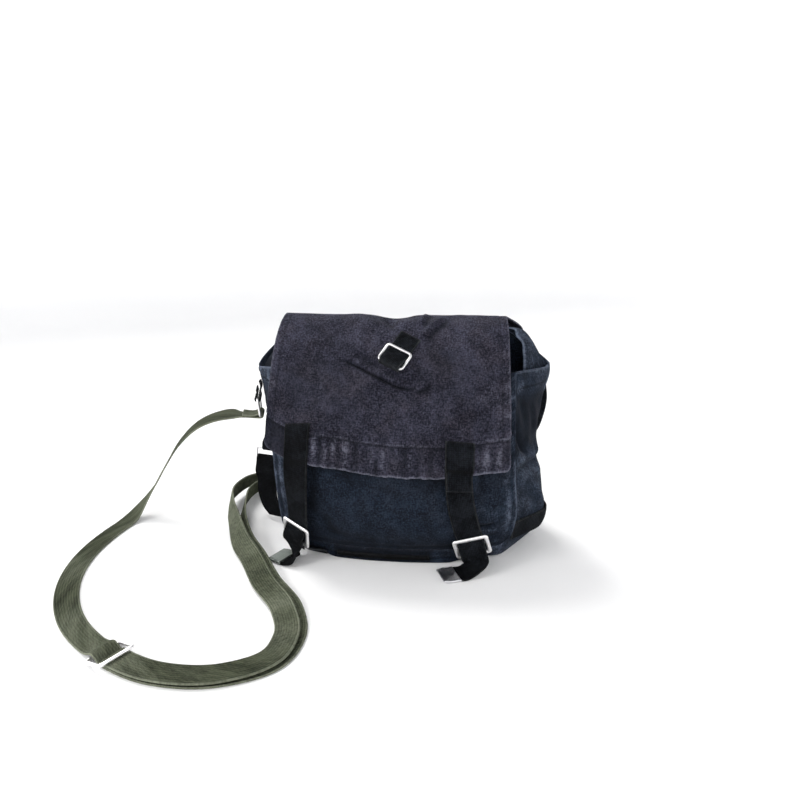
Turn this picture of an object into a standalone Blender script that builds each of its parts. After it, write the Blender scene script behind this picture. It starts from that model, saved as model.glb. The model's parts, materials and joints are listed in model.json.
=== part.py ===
"""Small canvas haversack standing with its lid flap closed.

Metres, +Z up, the front faces -Y. The origin is on the surface under the bag, between its seams.
"""
import math

import bpy
import numpy as np

# Cloth, webbing and seams
CLOTH = 0.0018
WEB = 0.0018
GAP = 0.0003
SEAM_LIP = 0.003
SEAM_EASE = 0.0004

# The bag: front panel, back panel and the strip between them; its heights follow the lid's ridge
RIDGE_HEIGHT = 0.239
PANEL_WIDTH = 0.250
PANEL_CORNER = 0.016
PANEL_FOOT = 0.018
MOUTH_HEIGHT = 0.8033 * RIDGE_HEIGHT
BACK_WIDTH = 0.300
BACK_CORNER = 0.022
BACK_FOOT = 0.007
BACK_HEIGHT = 0.9582 * RIDGE_HEIGHT
HEM_HEIGHT = 0.974 * MOUTH_HEIGHT
HEM_SINK = 0.009
FRONT_SEAM_Y = -0.046
BACK_SEAM_Y = 0.048
BELLY = 0.034
BACK_SWELL = 0.005
SIDE_SWELL = 0.020
WAIST_FOLD = 0.004
WAIST_SHARE = 0.42
BASE_BAG = 0.010
BASE_BAG_FROM = 0.045
BASE_BAG_FULL = 0.12
BASE_BAG_X = (-0.078, 0.086)
BASE_BAG_EASE = 0.026

# The lid flap
FLAP_WIDTH = 0.243
FLAP_SHIFT = -0.0025
FLAP_FALL = 0.7824 * RIDGE_HEIGHT
FLAP_TUCK = 0.038
FLAP_FLARE = 0.015
RIDGE_Y = 0.034
RIDGE_DIP = 0.010
DIP_DEPTH = 0.013

# Ears at the mouth's corners, the left one sunk a little
EAR_HEIGHT = 0.041
EAR_LEFT_SHARE = 0.62
EAR_DEPTH = 0.031
EAR_INSET = 0.010
EAR_LEAN = 0.006
EAR_ROOF = 0.022
EAR_TUCK = 0.008

# Webbing and metal on the front
STRAP_WIDTH = 0.026
STRAP_LEFT_X = -0.0875
STRAP_RIGHT_X = 0.069
STRAP_TOP_LEFT = 0.038
STRAP_TOP_RIGHT = 0.033
STRAP_EASE = 0.0005
PATCH_LENGTH = 0.0465
BUCKLE_WIDTH = 0.036
BUCKLE_HEIGHT = 0.024
BUCKLE_BAR = 0.0042
BUCKLE_THICK = 0.0024
BUCKLE_RISE_LEFT = 0.032
BUCKLE_RISE_RIGHT = 0.0265
BUCKLE_CLEAR_LEFT = 0.013
BUCKLE_CLEAR_RIGHT = 0.011
TIP_LENGTH = 0.017
TIP_THICK = 0.0030
ANCHOR_WIDTH = 0.023
BAND_LEFT_X = -0.052
BAND_RIGHT_X = 0.042
SIDE_BAND_WIDTH = 0.020

# Loop and ring on the lid
LOOP_WIDTH = 0.0225
LOOP_REACH = 0.030
LOOP_DROP = 0.069
LOOP_X = 0.004
LOOP_TURN = math.radians(28.0)
LID_RING_WIRE = 0.0026
LID_RING_WIDTH = 0.0295
LID_RING_HEIGHT = 0.022

# Straps and rings at the sides
RING_WIRE = 0.0032
STRAP_RING_WIDTH = 0.031
STRAP_RING_HEIGHT = 0.022
SIDE_STRAP_WIDTH = 0.026
SIDE_RING_HEIGHT = 0.0155
SIDE_RING_X = -0.157
SIDE_RING_Z = 0.071
SIDE_TAB_RISE = 0.022
RING_CORNER = 0.0045
LEFT_TAB_Z = 0.166
LEFT_TAB_LENGTH = 0.018
RIGHT_TAB_Z = 0.168
RIGHT_TAB_LENGTH = 0.072

# The shoulder strap
SHOULDER_WIDTH = 0.0215
FOLD_BACK = 0.020
SLIDE_BAR = 0.0032
SLIDE_HEIGHT = 0.024

COLOURS = {
    "canvas": ((0.032, 0.036, 0.052, 1.0), 0.92, 0.0),
    "webbing": ((0.012, 0.012, 0.013, 1.0), 0.80, 0.0),
    "olive": ((0.105, 0.115, 0.075, 1.0), 0.85, 0.0),
    "metal": ((0.72, 0.72, 0.74, 1.0), 0.28, 1.0),
}

# Front panel, a row for each height: share of the mouth's height, how far its side edges lie behind
# the front seam as a share of the bag's depth, belly as a share of BELLY, and half width at the left
# and at the right as shares of half of PANEL_WIDTH
FRONT_ROWS = np.array([
    (0.00, 0.08, 0.50, 0.86, 0.970),
    (0.10, 0.03, 0.66, 0.89, 0.985),
    (0.27, 0.00, 0.92, 0.92, 1.030),
    (0.46, 0.00, 1.00, 0.94, 1.005),
    (0.63, 0.05, 0.88, 0.96, 0.990),
    (0.81, 0.16, 0.58, 0.98, 0.985),
    (1.00, 0.31, 0.15, 0.98, 0.980),
])

# Back panel, a row for each height: share of BACK_HEIGHT, half width at the left and at the right as
# shares of half of BACK_WIDTH, swell of the gusset at the left and at the right as shares of SIDE_SWELL
BACK_ROWS = np.array([
    (0.00, 0.87, 1.03, 0.10, 1.05),
    (0.12, 0.90, 1.045, 0.12, 1.00),
    (0.27, 0.93, 1.015, 0.10, 0.90),
    (0.44, 0.97, 1.010, 0.12, 0.55),
    (0.65, 1.02, 1.050, 0.22, 0.45),
    (0.82, 1.05, 1.09, 0.28, 0.35),
    (1.00, 0.90, 0.91, 0.10, 0.30),
])

# Flap in side view from the ridge down its front, a row for each station: y as a share of the way
# from the ridge to the belly's front, z as a share of RIDGE_HEIGHT; first in the middle, then at the
# sides
FLAP_ROWS = np.array([
    (0.00, 1.000, 0.00, 1.000),
    (0.14, 0.985, 0.15, 0.980),
    (0.33, 0.925, 0.33, 0.922),
    (0.54, 0.820, 0.49, 0.826),
    (0.75, 0.682, 0.63, 0.690),
    (0.91, 0.552, 0.73, 0.556),
    (1.01, 0.435, 0.80, 0.435),
    (1.04, 0.330, 0.83, 0.330),
])

# Lower edge of the flap, a row for each place across it: place from -1 to 1, length as a share of
# FLAP_FALL
FLAP_EDGE = np.array([
    (-1.00, 0.845),
    (-0.75, 0.925),
    (-0.40, 0.965),
    (0.00, 1.000),
    (0.50, 0.990),
    (1.00, 0.925),
])

# Shoulder strap on its way from the left ring to the right ring, a row for each place: x as a share of
# half of BACK_WIDTH, y as a share of the bag's depth, height above its rest as a share of BACK_HEIGHT,
# lean of the webbing to its outer side in degrees
STRAP_ROUTE = np.array([
    (-1.24, 0.325, 0.533, -13),
    (-1.36, 0.33, 0.518, -13),
    (-1.52, 0.34, 0.475, -10),
    (-1.69, 0.34, 0.380, -5),
    (-1.83, 0.32, 0.250, 0),
    (-1.95, 0.24, 0.115, 0),
    (-2.05, 0.02, 0.015, 0),
    (-2.10, -0.40, 0.000, 0),
    (-2.09, -0.95, 0.000, 0),
    (-1.98, -1.50, 0.000, 0),
    (-1.75, -2.02, 0.000, 0),
    (-1.41, -2.42, 0.000, 0),
    (-1.04, -2.64, 0.000, 0),
    (-0.70, -2.60, 0.000, 0),
    (-0.47, -2.36, 0.000, 0),
    (-0.43, -2.02, 0.000, 0),
    (-0.51, -1.64, 0.000, -6),
    (-0.725, -1.21, 0.000, -14),
    (-0.88, -0.83, 0.000, -24),
    (-1.03, -0.50, 0.000, -36),
    (-1.15, -0.085, 0.000, -56),
    (-1.215, 0.32, 0.000, -72),
    (-1.25, 0.66, 0.000, -76),
    (-1.225, 0.95, 0.000, -66),
    (-1.15, 1.13, 0.000, -46),
    (-0.97, 1.22, 0.000, -22),
    (-0.73, 1.23, 0.000, -6),
    (-0.30, 1.20, 0.000, 0),
    (0.30, 1.18, 0.000, 0),
    (0.64, 1.10, 0.020, 0),
    (0.80, 0.94, 0.090, 0),
    (0.88, 0.78, 0.190, 0),
])
SLIDE_ROW = 11

# How the doubled layer lies beside the strap, a row for each share of the way from the slide to the
# right ring: shift to the outer side of the bend as a share of SHOULDER_WIDTH, and how far it stands
# off beyond its own layer as a number of layers
RETURN_ROWS = np.array([
    (0.00, 0.00, 0.0),
    (0.12, 0.05, 0.1),
    (0.25, 0.32, 0.2),
    (0.31, 0.26, 0.2),
    (0.36, 0.20, 0.3),
    (0.40, 0.15, 0.6),
    (0.45, 0.12, 1.6),
    (0.49, 0.05, 4.6),
    (0.53, 0.00, 6.2),
    (0.56, 0.00, 5.4),
    (0.60, 0.00, 2.4),
    (0.66, 0.00, 0.6),
    (0.80, 0.00, 0.2),
    (1.00, 0.00, 0.1),
])

# Webbing across the right side, a row for each share of the way to the back: height of its middle as
# a share of its width
SIDE_BAND_ROWS = np.array([
    (0.00, 1.72),
    (0.40, 1.42),
    (0.75, 1.25),
    (1.00, 1.48),
])

# Ears, a row for each place from the back corner to the front edge: height as a share of EAR_HEIGHT,
# roof as a share of EAR_ROOF
EAR_ROWS = np.array([
    (0.00, 0.12, 0.30),
    (0.25, 0.55, 0.60),
    (0.50, 0.85, 0.85),
    (0.75, 0.97, 0.95),
    (1.00, 1.00, 1.00),
])


def curve(table, column, where):
    """Smooth value of one column of a table at the given places of its first column."""
    x, y = table[:, 0], table[:, column]
    slope = np.gradient(y, x)
    where = np.clip(np.asarray(where, float), x[0], x[-1])
    i = np.clip(np.searchsorted(x, where) - 1, 0, len(x) - 2)
    h = x[i + 1] - x[i]
    t = (where - x[i]) / h
    return ((2 * t**3 - 3 * t**2 + 1) * y[i] + (t**3 - 2 * t**2 + t) * h * slope[i]
            + (3 * t**2 - 2 * t**3) * y[i + 1] + (t**3 - t**2) * h * slope[i + 1])


def smooth_line(points, count):
    """Evenly spaced points on a smooth line through the given points, of any number of columns."""
    points = np.asarray(points, float)
    steps = np.linalg.norm(np.diff(points[:, :3], axis=0), axis=1)
    knots = np.r_[0.0, np.cumsum(steps)]
    table = np.c_[knots, points]
    fine = np.linspace(0.0, knots[-1], 40 * len(points))
    line = np.stack([curve(table, k + 1, fine) for k in range(points.shape[1])], axis=1)
    run = np.r_[0.0, np.cumsum(np.linalg.norm(np.diff(line[:, :3], axis=0), axis=1))]
    even = np.linspace(0.0, run[-1], count)
    return np.stack([np.interp(even, run, line[:, k]) for k in range(line.shape[1])], axis=1)


def unit(v):
    """Vectors of length one."""
    v = np.asarray(v, float)
    return v / np.linalg.norm(v, axis=-1, keepdims=True)


def material(name):
    """Principled material of a named finish, made once."""
    found = bpy.data.materials.get(name)
    if found:
        return found
    colour, roughness, metallic = COLOURS[name]
    made = bpy.data.materials.new(name)
    made.use_nodes = True
    shader = made.node_tree.nodes["Principled BSDF"]
    shader.inputs["Base Color"].default_value = colour
    shader.inputs["Roughness"].default_value = roughness
    shader.inputs["Metallic"].default_value = metallic
    made.diffuse_color = colour
    return made


def mesh_object(name, verts, faces, finish):
    """Object from a list of corners and faces, with its material."""
    mesh = bpy.data.meshes.new(name)
    mesh.from_pydata(np.asarray(verts).reshape(-1, 3).tolist(), [], faces)
    mesh.materials.append(material(finish))
    mesh.update()
    made = bpy.data.objects.new(name, mesh)
    bpy.context.collection.objects.link(made)
    return made


def sheet(name, grid, thickness, finish):
    """Closed sheet: a grid of middle points, rows by columns, thickened to both sides."""
    rows, columns = grid.shape[:2]
    at = np.arange(rows * columns).reshape(rows, columns)
    faces = np.stack([at[:-1, :-1], at[1:, :-1], at[1:, 1:], at[:-1, 1:]], axis=-1)
    made = mesh_object(name, grid, faces.reshape(-1, 4).tolist(), finish)
    wall = made.modifiers.new("Wall", "SOLIDIFY")
    wall.thickness = thickness
    wall.offset = 0.0
    wall.use_even_offset = True
    wall.use_quality_normals = True
    made.data.shade_smooth()
    made.data.set_sharp_from_angle(angle=math.radians(40))


def ribbon(name, centre, across, width, finish):
    """Webbing: a middle line with a direction across it at every point."""
    side = np.array([-0.5, 0.5])[None, :, None] * width
    sheet(name, centre[:, None, :] + side * unit(across)[:, None, :], WEB, finish)


def ring(name, width, height, corner, bar, thick, frame):
    """Rectangular metal frame with round corners, its bar an oval of bar by thick.

    The width and height are outer sizes, and frame holds the centre, the direction of the width, the
    direction of the height and the direction out of its face. Inwards the corners grow sharper.
    """
    centre, ex, ey, ez = frame
    angle = (np.linspace(0.0, math.pi / 2, 4) + np.arange(4)[:, None] * math.pi / 2).reshape(-1, 1)
    sx, sy = np.repeat([1, -1, -1, 1], 4)[:, None], np.repeat([1, 1, -1, -1], 4)[:, None]
    sides = 6
    phi = (np.arange(sides) + 0.5) * 2 * math.pi / sides
    inset = bar / 2 * (1 - np.cos(phi))
    radius = np.maximum(corner - inset, GAP)
    plane = np.stack([sx * (width / 2 - inset - radius) + radius * np.cos(angle),
                      sy * (height / 2 - inset - radius) + radius * np.sin(angle)], axis=-1)
    rise = np.broadcast_to(np.sin(phi) * thick / 2, plane.shape[:2])
    grid = centre + plane[..., 0:1] * ex + plane[..., 1:2] * ey + rise[..., None] * ez
    at = np.arange(angle.size * sides).reshape(-1, sides)
    nxt, up = np.roll(at, -1, axis=0), np.roll(at, -1, axis=1)
    faces = np.stack([at, nxt, np.roll(nxt, -1, axis=1), up], axis=-1).reshape(-1, 4).tolist()
    mesh_object(name, grid, faces, "metal").data.shade_smooth()


def frame_of(centre, right, up):
    """Centre and three square directions: along right, along up, and out of their face."""
    ex = unit(right)
    ez = unit(np.cross(ex, up))
    ey = np.cross(ez, ex)
    return np.asarray(centre, float), ex, ey, ez


# Surfaces of the bag

DEPTH = BACK_SEAM_Y - FRONT_SEAM_Y


def front_half_width(z, side):
    """Half width of the front panel at a height; side is below zero for the left."""
    share = z / MOUTH_HEIGHT
    left, right = curve(FRONT_ROWS, 3, share), curve(FRONT_ROWS, 4, share)
    return PANEL_WIDTH / 2 * np.where(np.asarray(side) < 0, left, right)


def front_y(x, z):
    """Depth of the front panel's middle surface: side edges by height, swollen in the middle."""
    share = z / MOUTH_HEIGHT
    edge = FRONT_SEAM_Y + DEPTH * curve(FRONT_ROWS, 1, share)
    round_off = 1 - np.minimum(1.0, np.abs(x) / front_half_width(z, x)) ** 2.2
    return edge - BELLY * curve(FRONT_ROWS, 2, share) * round_off


def back_half_width(z, side):
    """Half width of the back panel at a height; side is below zero for the left."""
    share = z / BACK_HEIGHT
    left, right = curve(BACK_ROWS, 1, share), curve(BACK_ROWS, 2, share)
    return BACK_WIDTH / 2 * np.where(np.asarray(side) < 0, left, right)


def back_y(x, z):
    """Depth of the back panel's middle surface, a little swollen to the back."""
    across = np.clip(1 - (np.abs(x) / (BACK_WIDTH / 2)) ** 2, 0.0, 1.0)
    return BACK_SEAM_Y + BACK_SWELL * across * np.sin(math.pi * np.clip(z / BACK_HEIGHT, 0.0, 1.0)) ** 0.7


def rim(half_width, foot, corner, top_left, top_right, inset):
    """Outline of a panel from its left top corner, round the foot, to its right top corner.

    half_width is a function of height and side. Returns x, z and the way out of the panel.
    """
    low = foot + corner
    left_z, right_z = np.linspace(top_left, low, 11), np.linspace(low, top_right, 11)
    angle = np.linspace(0.0, math.pi / 2, 5)[1:]
    left_w, right_w = half_width(low, -1), half_width(low, 1)
    reach = corner - inset
    x = [-(half_width(left_z, -1) - inset), -(left_w - corner + reach * np.cos(angle))]
    z = [left_z, low - reach * np.sin(angle)]
    out = [np.c_[-np.ones(11), np.zeros(11)], np.c_[-np.cos(angle), -np.sin(angle)]]
    floor_x = np.linspace(-(left_w - corner), right_w - corner, 15)[1:-1]
    x += [floor_x, right_w - corner + reach * np.cos(angle[::-1]), half_width(right_z, 1) - inset]
    z += [np.full(13, foot + inset), low - reach * np.sin(angle[::-1]), right_z]
    out += [np.tile((0.0, -1.0), (13, 1)), np.c_[np.cos(angle[::-1]), -np.sin(angle[::-1])],
            np.c_[np.ones(11), np.zeros(11)]]
    x, z, out = np.concatenate(x), np.concatenate(z), np.concatenate(out)
    return x, z, out


def panel_grid(half_width, foot, corner, top, depth, across, up, top_edge=None):
    """Grid of a panel: columns across it, each from the rounded foot to the top edge."""
    u = np.sin(np.linspace(-1, 1, across) * math.pi / 2) * 0.35 + np.linspace(-1, 1, across) * 0.65
    side = np.where(u < 0, -1, 1)
    low_width = half_width(foot + corner, side)
    q = np.clip((np.abs(u) * low_width - (low_width - corner)) / corner, 0.0, 1.0)
    z_low = foot + corner * (1 - np.sqrt(1 - q**2))
    z_top = np.full(across, top) if top_edge is None else top_edge(u)
    v = np.linspace(0.0, 1.0, up)[:, None]
    z = z_low + v * (z_top - z_low)
    x = u * half_width(z, side)
    return np.stack([x, depth(x, z), z], axis=-1)


def seated(points, tangent, normal):
    """Moves the edge of a sheet off the face that it is sewn to: half walls, a gap, and its slope."""
    slope = np.sqrt(np.clip(1 - np.sum(unit(tangent) * normal, axis=-1) ** 2, 0.0, 1.0))
    return points + normal * (CLOTH / 2 + GAP + SEAM_EASE + CLOTH / 2 * slope)[:, None]


def surface_normal(depth, x, z, toward):
    """Normal of a panel's surface y = depth(x, z), turned to the front (-1) or to the back (1)."""
    step = 0.0005
    dx = (depth(x + step, z) - depth(x - step, z)) / (2 * step)
    dz = (depth(x, z + step) - depth(x, z - step)) / (2 * step)
    return unit(np.stack([-dx, np.ones_like(dx), -dz], axis=-1)) * toward


def gusset_strip(front, back, out, t):
    """Strip between two rims: straight across, swollen outwards, flat where it rests.

    Under the front seam it bags forward between the places BASE_BAG_X: eased in from the share
    BASE_BAG_FROM across it to BASE_BAG_FULL, then fading as e to the minus square of the share.
    """
    grid = front[:, None, :] * (1 - t[None, :, None]) + back[:, None, :] * t[None, :, None]
    down = -out[:, 1][:, None]
    share = grid[..., 2] / BACK_HEIGHT
    left = (out[:, 0] < 0)[:, None]
    swell = np.where(left, curve(BACK_ROWS, 3, share), curve(BACK_ROWS, 4, share)) * SIDE_SWELL
    waist = (share - WAIST_SHARE) / 0.06
    fold = np.where(left, 0.0, WAIST_FOLD) * np.sin(waist * 2.7) * np.exp(-waist**2)
    swell = swell * np.sin(math.pi * t**1.6) + fold * np.sin(math.pi * t) ** 2
    drop = (PANEL_FOOT + SEAM_LIP) * 1.1 * (1 - np.abs(2 * t - 1) ** 3) ** (1 / 3)
    grid[..., 0] += np.sign(out[:, 0])[:, None] * swell * (1 - down**2)
    grid[..., 2] = np.maximum(grid[..., 2] - drop * down, CLOTH / 2)
    inside = np.minimum(grid[..., 0] - BASE_BAG_X[0], BASE_BAG_X[1] - grid[..., 0])
    inside = np.clip(inside / BASE_BAG_EASE, 0, 1)
    begun = np.clip((t - BASE_BAG_FROM) / (BASE_BAG_FULL - BASE_BAG_FROM), 0, 1)
    bagged = begun**2 * (3 - 2 * begun) * np.exp(-(np.maximum(t - BASE_BAG_FULL, 0) / 0.16) ** 2)
    grid[..., 1] -= BASE_BAG * inside**2 * (3 - 2 * inside) * down * bagged
    return grid


def gusset_grid(across=11):
    """Gusset between the rims of the front and back panels, its edges just off their faces."""
    mouth = MOUTH_HEIGHT - GAP
    fx, fz, out = rim(front_half_width, PANEL_FOOT, PANEL_CORNER, mouth, mouth, SEAM_LIP)
    bx, bz, _ = rim(back_half_width, BACK_FOOT, BACK_CORNER, HEM_HEIGHT - HEM_SINK, HEM_HEIGHT, SEAM_LIP)
    front = np.stack([fx, front_y(fx, fz), fz], axis=1)
    back = np.stack([bx, back_y(bx, bz), bz], axis=1)
    t = np.linspace(0, 1, across)
    t = (1 - np.cos(t * math.pi)) / 2 * 0.5 + t * 0.5
    grid = gusset_strip(front, back, out, t)
    front = seated(front, grid[:, 1] - grid[:, 0], surface_normal(front_y, fx, fz, 1))
    back = seated(back, grid[:, -1] - grid[:, -2], surface_normal(back_y, bx, bz, -1))
    return gusset_strip(front, back, out, t)


def back_top(u):
    """Height of the back panel's top edge across it: its corners slant down to the gusset's hem."""
    hem = HEM_HEIGHT - HEM_SINK * (u < 0)
    slant = (BACK_HEIGHT - hem) * 0.95 * np.clip((np.abs(u) - 0.82) / 0.18, 0, 1)
    return BACK_HEIGHT - slant - RIDGE_DIP * np.exp(-(u / 0.14) ** 2)


def build_bag():
    """Front panel, back panel and the gusset strip between them."""
    front = panel_grid(front_half_width, PANEL_FOOT, PANEL_CORNER, MOUTH_HEIGHT, front_y, 19, 12)
    sheet("front_panel", front, CLOTH, "canvas")
    back = panel_grid(back_half_width, BACK_FOOT, BACK_CORNER, BACK_HEIGHT, back_y, 17, 11, back_top)
    sheet("back_panel", back, CLOTH, "canvas")
    sheet("gusset", gusset_grid(), CLOTH, "canvas")


# The flap as a surface: place across it from -1 to 1, and distance down from its ridge

BELLY_FRONT = FRONT_SEAM_Y - BELLY - 2 * CLOTH


def flap_line(column_y, column_z):
    """Distance down the front of the flap, y and z along one of its two side views."""
    y = RIDGE_Y + FLAP_ROWS[:, column_y] * (BELLY_FRONT - RIDGE_Y)
    z = FLAP_ROWS[:, column_z] * RIDGE_HEIGHT
    line = smooth_line(np.c_[y, z, np.zeros(len(y))], 240)[:, :2]
    run = np.r_[0.0, np.cumsum(np.hypot(*np.diff(line, axis=0).T))]
    return run, line[:, 0], line[:, 1]


FLAP_MIDDLE = flap_line(0, 1)
FLAP_SIDE = flap_line(2, 3)


def flap_half_width(down):
    """Half width of the flap: narrowest at the ridge, wider at its lower edge and at the back."""
    front, back = np.clip(down / FLAP_FALL, 0.0, 1.0), np.clip(-down / FLAP_TUCK, 0.0, 1.0)
    return FLAP_WIDTH / 2 * (0.96 + 0.04 * front + 0.07 * back)


def flap_point(u, down):
    """Middle surface of the flap; down is below zero behind the ridge, where it meets the back."""
    u, down = np.broadcast_arrays(np.asarray(u, float), np.asarray(down, float))
    side = np.abs(u) ** 2.2
    front = np.maximum(down, 0.0)
    y = np.interp(front, FLAP_MIDDLE[0], FLAP_MIDDLE[1]) * (1 - side)
    y = y + np.interp(front, FLAP_SIDE[0], FLAP_SIDE[1]) * side
    z = np.interp(front, FLAP_MIDDLE[0], FLAP_MIDDLE[2]) * (1 - side)
    z = z + np.interp(front, FLAP_SIDE[0], FLAP_SIDE[2]) * side
    x = FLAP_SHIFT + u * flap_half_width(down)
    z = z - RIDGE_DIP * np.exp(-(u / 0.13) ** 2) * np.exp(-((down - CLOTH) / DIP_DEPTH) ** 2)
    behind = np.clip(-down / FLAP_TUCK, 0.0, 1.0)
    turn = np.minimum(1.0, behind / 0.45) * math.pi / 2
    x = x + FLAP_FLARE * np.maximum(u, 0.0) ** 3 * np.sin(turn)
    seat = back_y(x, BACK_HEIGHT) + CLOTH + GAP * 2
    y = y + (seat - RIDGE_Y) * np.sin(turn)
    z = z - (RIDGE_HEIGHT - BACK_HEIGHT + CLOTH) * 0.5 * (1 - np.cos(turn))
    fall = np.clip(behind - 0.45, 0.0, 1.0) * FLAP_TUCK
    z = z - fall * 1.25
    y = np.where(fall > 0, np.maximum(y, back_y(x, np.minimum(z, BACK_HEIGHT)) + CLOTH + GAP * 2), y)
    return np.stack([x, y, z], axis=-1)


def flap_normal(u, down):
    """Outward normal of the flap."""
    step = 0.001
    du = flap_point(u + 0.01, down) - flap_point(u - 0.01, down)
    dd = flap_point(u, down + step) - flap_point(u, down - step)
    return unit(np.cross(dd, du))


def flap_length(u):
    """Length of the flap from the ridge to its lower edge, at a place across it."""
    return FLAP_FALL * curve(FLAP_EDGE, 1, u)


def on_flap(x, down, lift):
    """Point at a place x and a distance down the flap, lifted off its middle surface."""
    u = (x - FLAP_SHIFT) / flap_half_width(down)
    return flap_point(u, down) + flap_normal(u, down) * np.asarray(lift)[..., None]


def build_flap():
    """Lid flap from its seam on the back, over the ridge and down the front."""
    u = np.linspace(-1, 1, 21)
    behind = np.linspace(-1.0, 0.0, 6)[:-1] * FLAP_TUCK
    share = np.linspace(0.0, 1.0, 15)
    rows = [flap_point(u, d) for d in behind]
    rows += [flap_point(u, s * flap_length(u)) for s in share]
    sheet("flap", np.stack(rows), CLOTH, "canvas")


def build_ears():
    """Ears inside the gusset's hem at the mouth's back corners: an upright leaf with a roof."""
    for name, side, size in (("ear_left", -1, EAR_LEFT_SHARE), ("ear_right", 1, 1.0)):
        inside = CLOTH + GAP * 4
        y_back = BACK_SEAM_Y - CLOTH - GAP * 4
        back_x = back_half_width(HEM_HEIGHT, side) - SEAM_LIP
        front_x = front_half_width(MOUTH_HEIGHT, side) - SEAM_LIP
        along = np.linspace(0.0, 1.0, 8)
        y = y_back - EAR_DEPTH * along
        share = (y - FRONT_SEAM_Y) / DEPTH
        x = front_x + (back_x - front_x) * share - inside - EAR_INSET * along
        hem = HEM_HEIGHT - HEM_SINK * share * (side < 0)
        foot = hem - EAR_TUCK
        top = hem + EAR_HEIGHT * size * curve(EAR_ROWS, 1, along)
        roof = EAR_ROOF * curve(EAR_ROWS, 2, along)
        rows = []
        for up in np.linspace(0.0, 1.0, 5):
            lean = EAR_LEAN * curve(EAR_ROWS, 1, along) * up**2
            rows.append(np.stack([x - lean, y, foot + (top - foot) * up], axis=1))
        for over in np.linspace(0.0, 1.0, 5)[1:]:
            rise = roof * 0.12 * np.sin(math.pi * over)
            rows.append(np.stack([rows[4][:, 0] - roof * over, y, top + rise], axis=1))
        grid = np.stack(rows)
        grid[..., 0] *= side
        sheet(name, grid, CLOTH, "canvas")


# Webbing folded round bars and laid on cloth

FLAT_LIFT = CLOTH / 2 + GAP + WEB / 2
WIRE_LIFT = GAP + WEB / 2
LAYER = WEB + 2 * GAP


def fold_round(bar_centre, along, out, bar, thick, back_run):
    """Middle line of webbing that comes to a bar on its inner side, turns round it and runs back.

    along points from the webbing to the bar, and out to the side on which the end comes back.
    """
    angle = np.radians(np.linspace(-90.0, 150.0, 9))[:, None]
    turn = (bar_centre + along * np.cos(angle) * (bar / 2 + WIRE_LIFT)
            + out * np.sin(angle) * (thick / 2 + WIRE_LIFT))
    level = LAYER - (thick / 2 + WIRE_LIFT)
    near = bar_centre - along * min(bar / 2 + 2.2 * WEB, back_run * 0.8) + out * (level + 0.1 * WEB)
    end = bar_centre - along * back_run + out * level
    return np.concatenate([turn, [near, end]])


def approach(bar_centre, along, out, thick, run):
    """Place of the webbing's middle line before its turn round a bar, at a distance from the bar."""
    return bar_centre - along * run - out * (thick / 2 + WIRE_LIFT)


def grid_at(grid, rows, columns):
    """Points between the corners of a grid, at row and column numbers that need not be whole."""
    rows, columns = np.broadcast_arrays(np.asarray(rows, float), np.asarray(columns, float))
    i = np.clip(rows.astype(int), 0, grid.shape[0] - 2)
    j = np.clip(columns.astype(int), 0, grid.shape[1] - 2)
    a, b = (rows - i)[..., None], (columns - j)[..., None]
    return ((grid[i, j] * (1 - a) + grid[i + 1, j] * a) * (1 - b)
            + (grid[i, j + 1] * (1 - a) + grid[i + 1, j + 1] * a) * b)


def grid_normals(grid):
    """Directions out of a grid that surrounds the bag's middle."""
    normal = unit(np.cross(np.gradient(grid, axis=0), np.gradient(grid, axis=1)))
    outward = grid - np.array([0.0, 0.0, BACK_HEIGHT / 3])
    return normal * np.sign(np.sum(normal * outward, axis=-1, keepdims=True))


def on_grid(grid, rows, columns, lift):
    """Points lifted off a grid along its normals."""
    return grid_at(grid, rows, columns) + unit(grid_at(grid_normals(grid), rows, columns)) * lift


def floor_row(grid, x):
    """Row number of a gusset grid where its front edge crosses a place x under the bag."""
    edge = grid[:, 0]
    low = np.where(edge[:, 2] < PANEL_FOOT + SEAM_LIP * 2)[0]
    return np.interp(x, edge[low, 0], low)


def build_bands(grid):
    """Black webbing sewn on the gusset: along the lower front edge, and across the right side."""
    rows = np.linspace(floor_row(grid, BAND_LEFT_X), floor_row(grid, BAND_RIGHT_X), 10)[:, None]
    band = on_grid(grid, rows, np.array([0.32, 0.64, 1.0, 1.35])[None, :], FLAT_LIFT + STRAP_EASE)
    sheet("base_band", band, WEB, "webbing")
    count = grid.shape[1]
    columns = np.linspace(0.45, count - 1.6, 14)
    first = int(floor_row(grid, PANEL_WIDTH)) + 1
    lines = []
    for share in (-0.5, -0.17, 0.17, 0.5):
        place = []
        for c in columns:
            z = grid_at(grid, np.arange(first, len(grid)), np.full(len(grid) - first, c))[:, 2]
            middle = curve(SIDE_BAND_ROWS, 1, c / (count - 1)) * SIDE_BAND_WIDTH
            place.append(np.interp(middle + share * SIDE_BAND_WIDTH, z, np.arange(first, len(grid))))
        lines.append(on_grid(grid, np.array(place), columns, FLAT_LIFT + STRAP_EASE * 3))
    sheet("side_band_right", np.stack(lines), WEB, "webbing")


# Front straps, each worked out as a path: middle line and the direction across it

def flap_edge_down(x):
    """Distance down the flap to its lower edge at a place x."""
    return float(flap_length((x - FLAP_SHIFT) / flap_half_width(FLAP_FALL)))


def buckle_frame(side):
    """Frame of a buckle: in front of the front panel, a little off it, its top leaning out."""
    if side == "left":
        x, z, clear = STRAP_LEFT_X - 0.2 * STRAP_WIDTH, BUCKLE_RISE_LEFT, BUCKLE_CLEAR_LEFT
        right, up = (0.84, -0.50, -0.20), (0.0, -0.2, 0.98)
    else:
        x, z, clear = STRAP_RIGHT_X + 0.62 * STRAP_WIDTH, BUCKLE_RISE_RIGHT, BUCKLE_CLEAR_RIGHT
        right, up = (0.96, 0.0, 0.28), (0.0, -0.25, 0.97)
    return frame_of((x, front_y(x, z) - clear, z), right, up)


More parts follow.
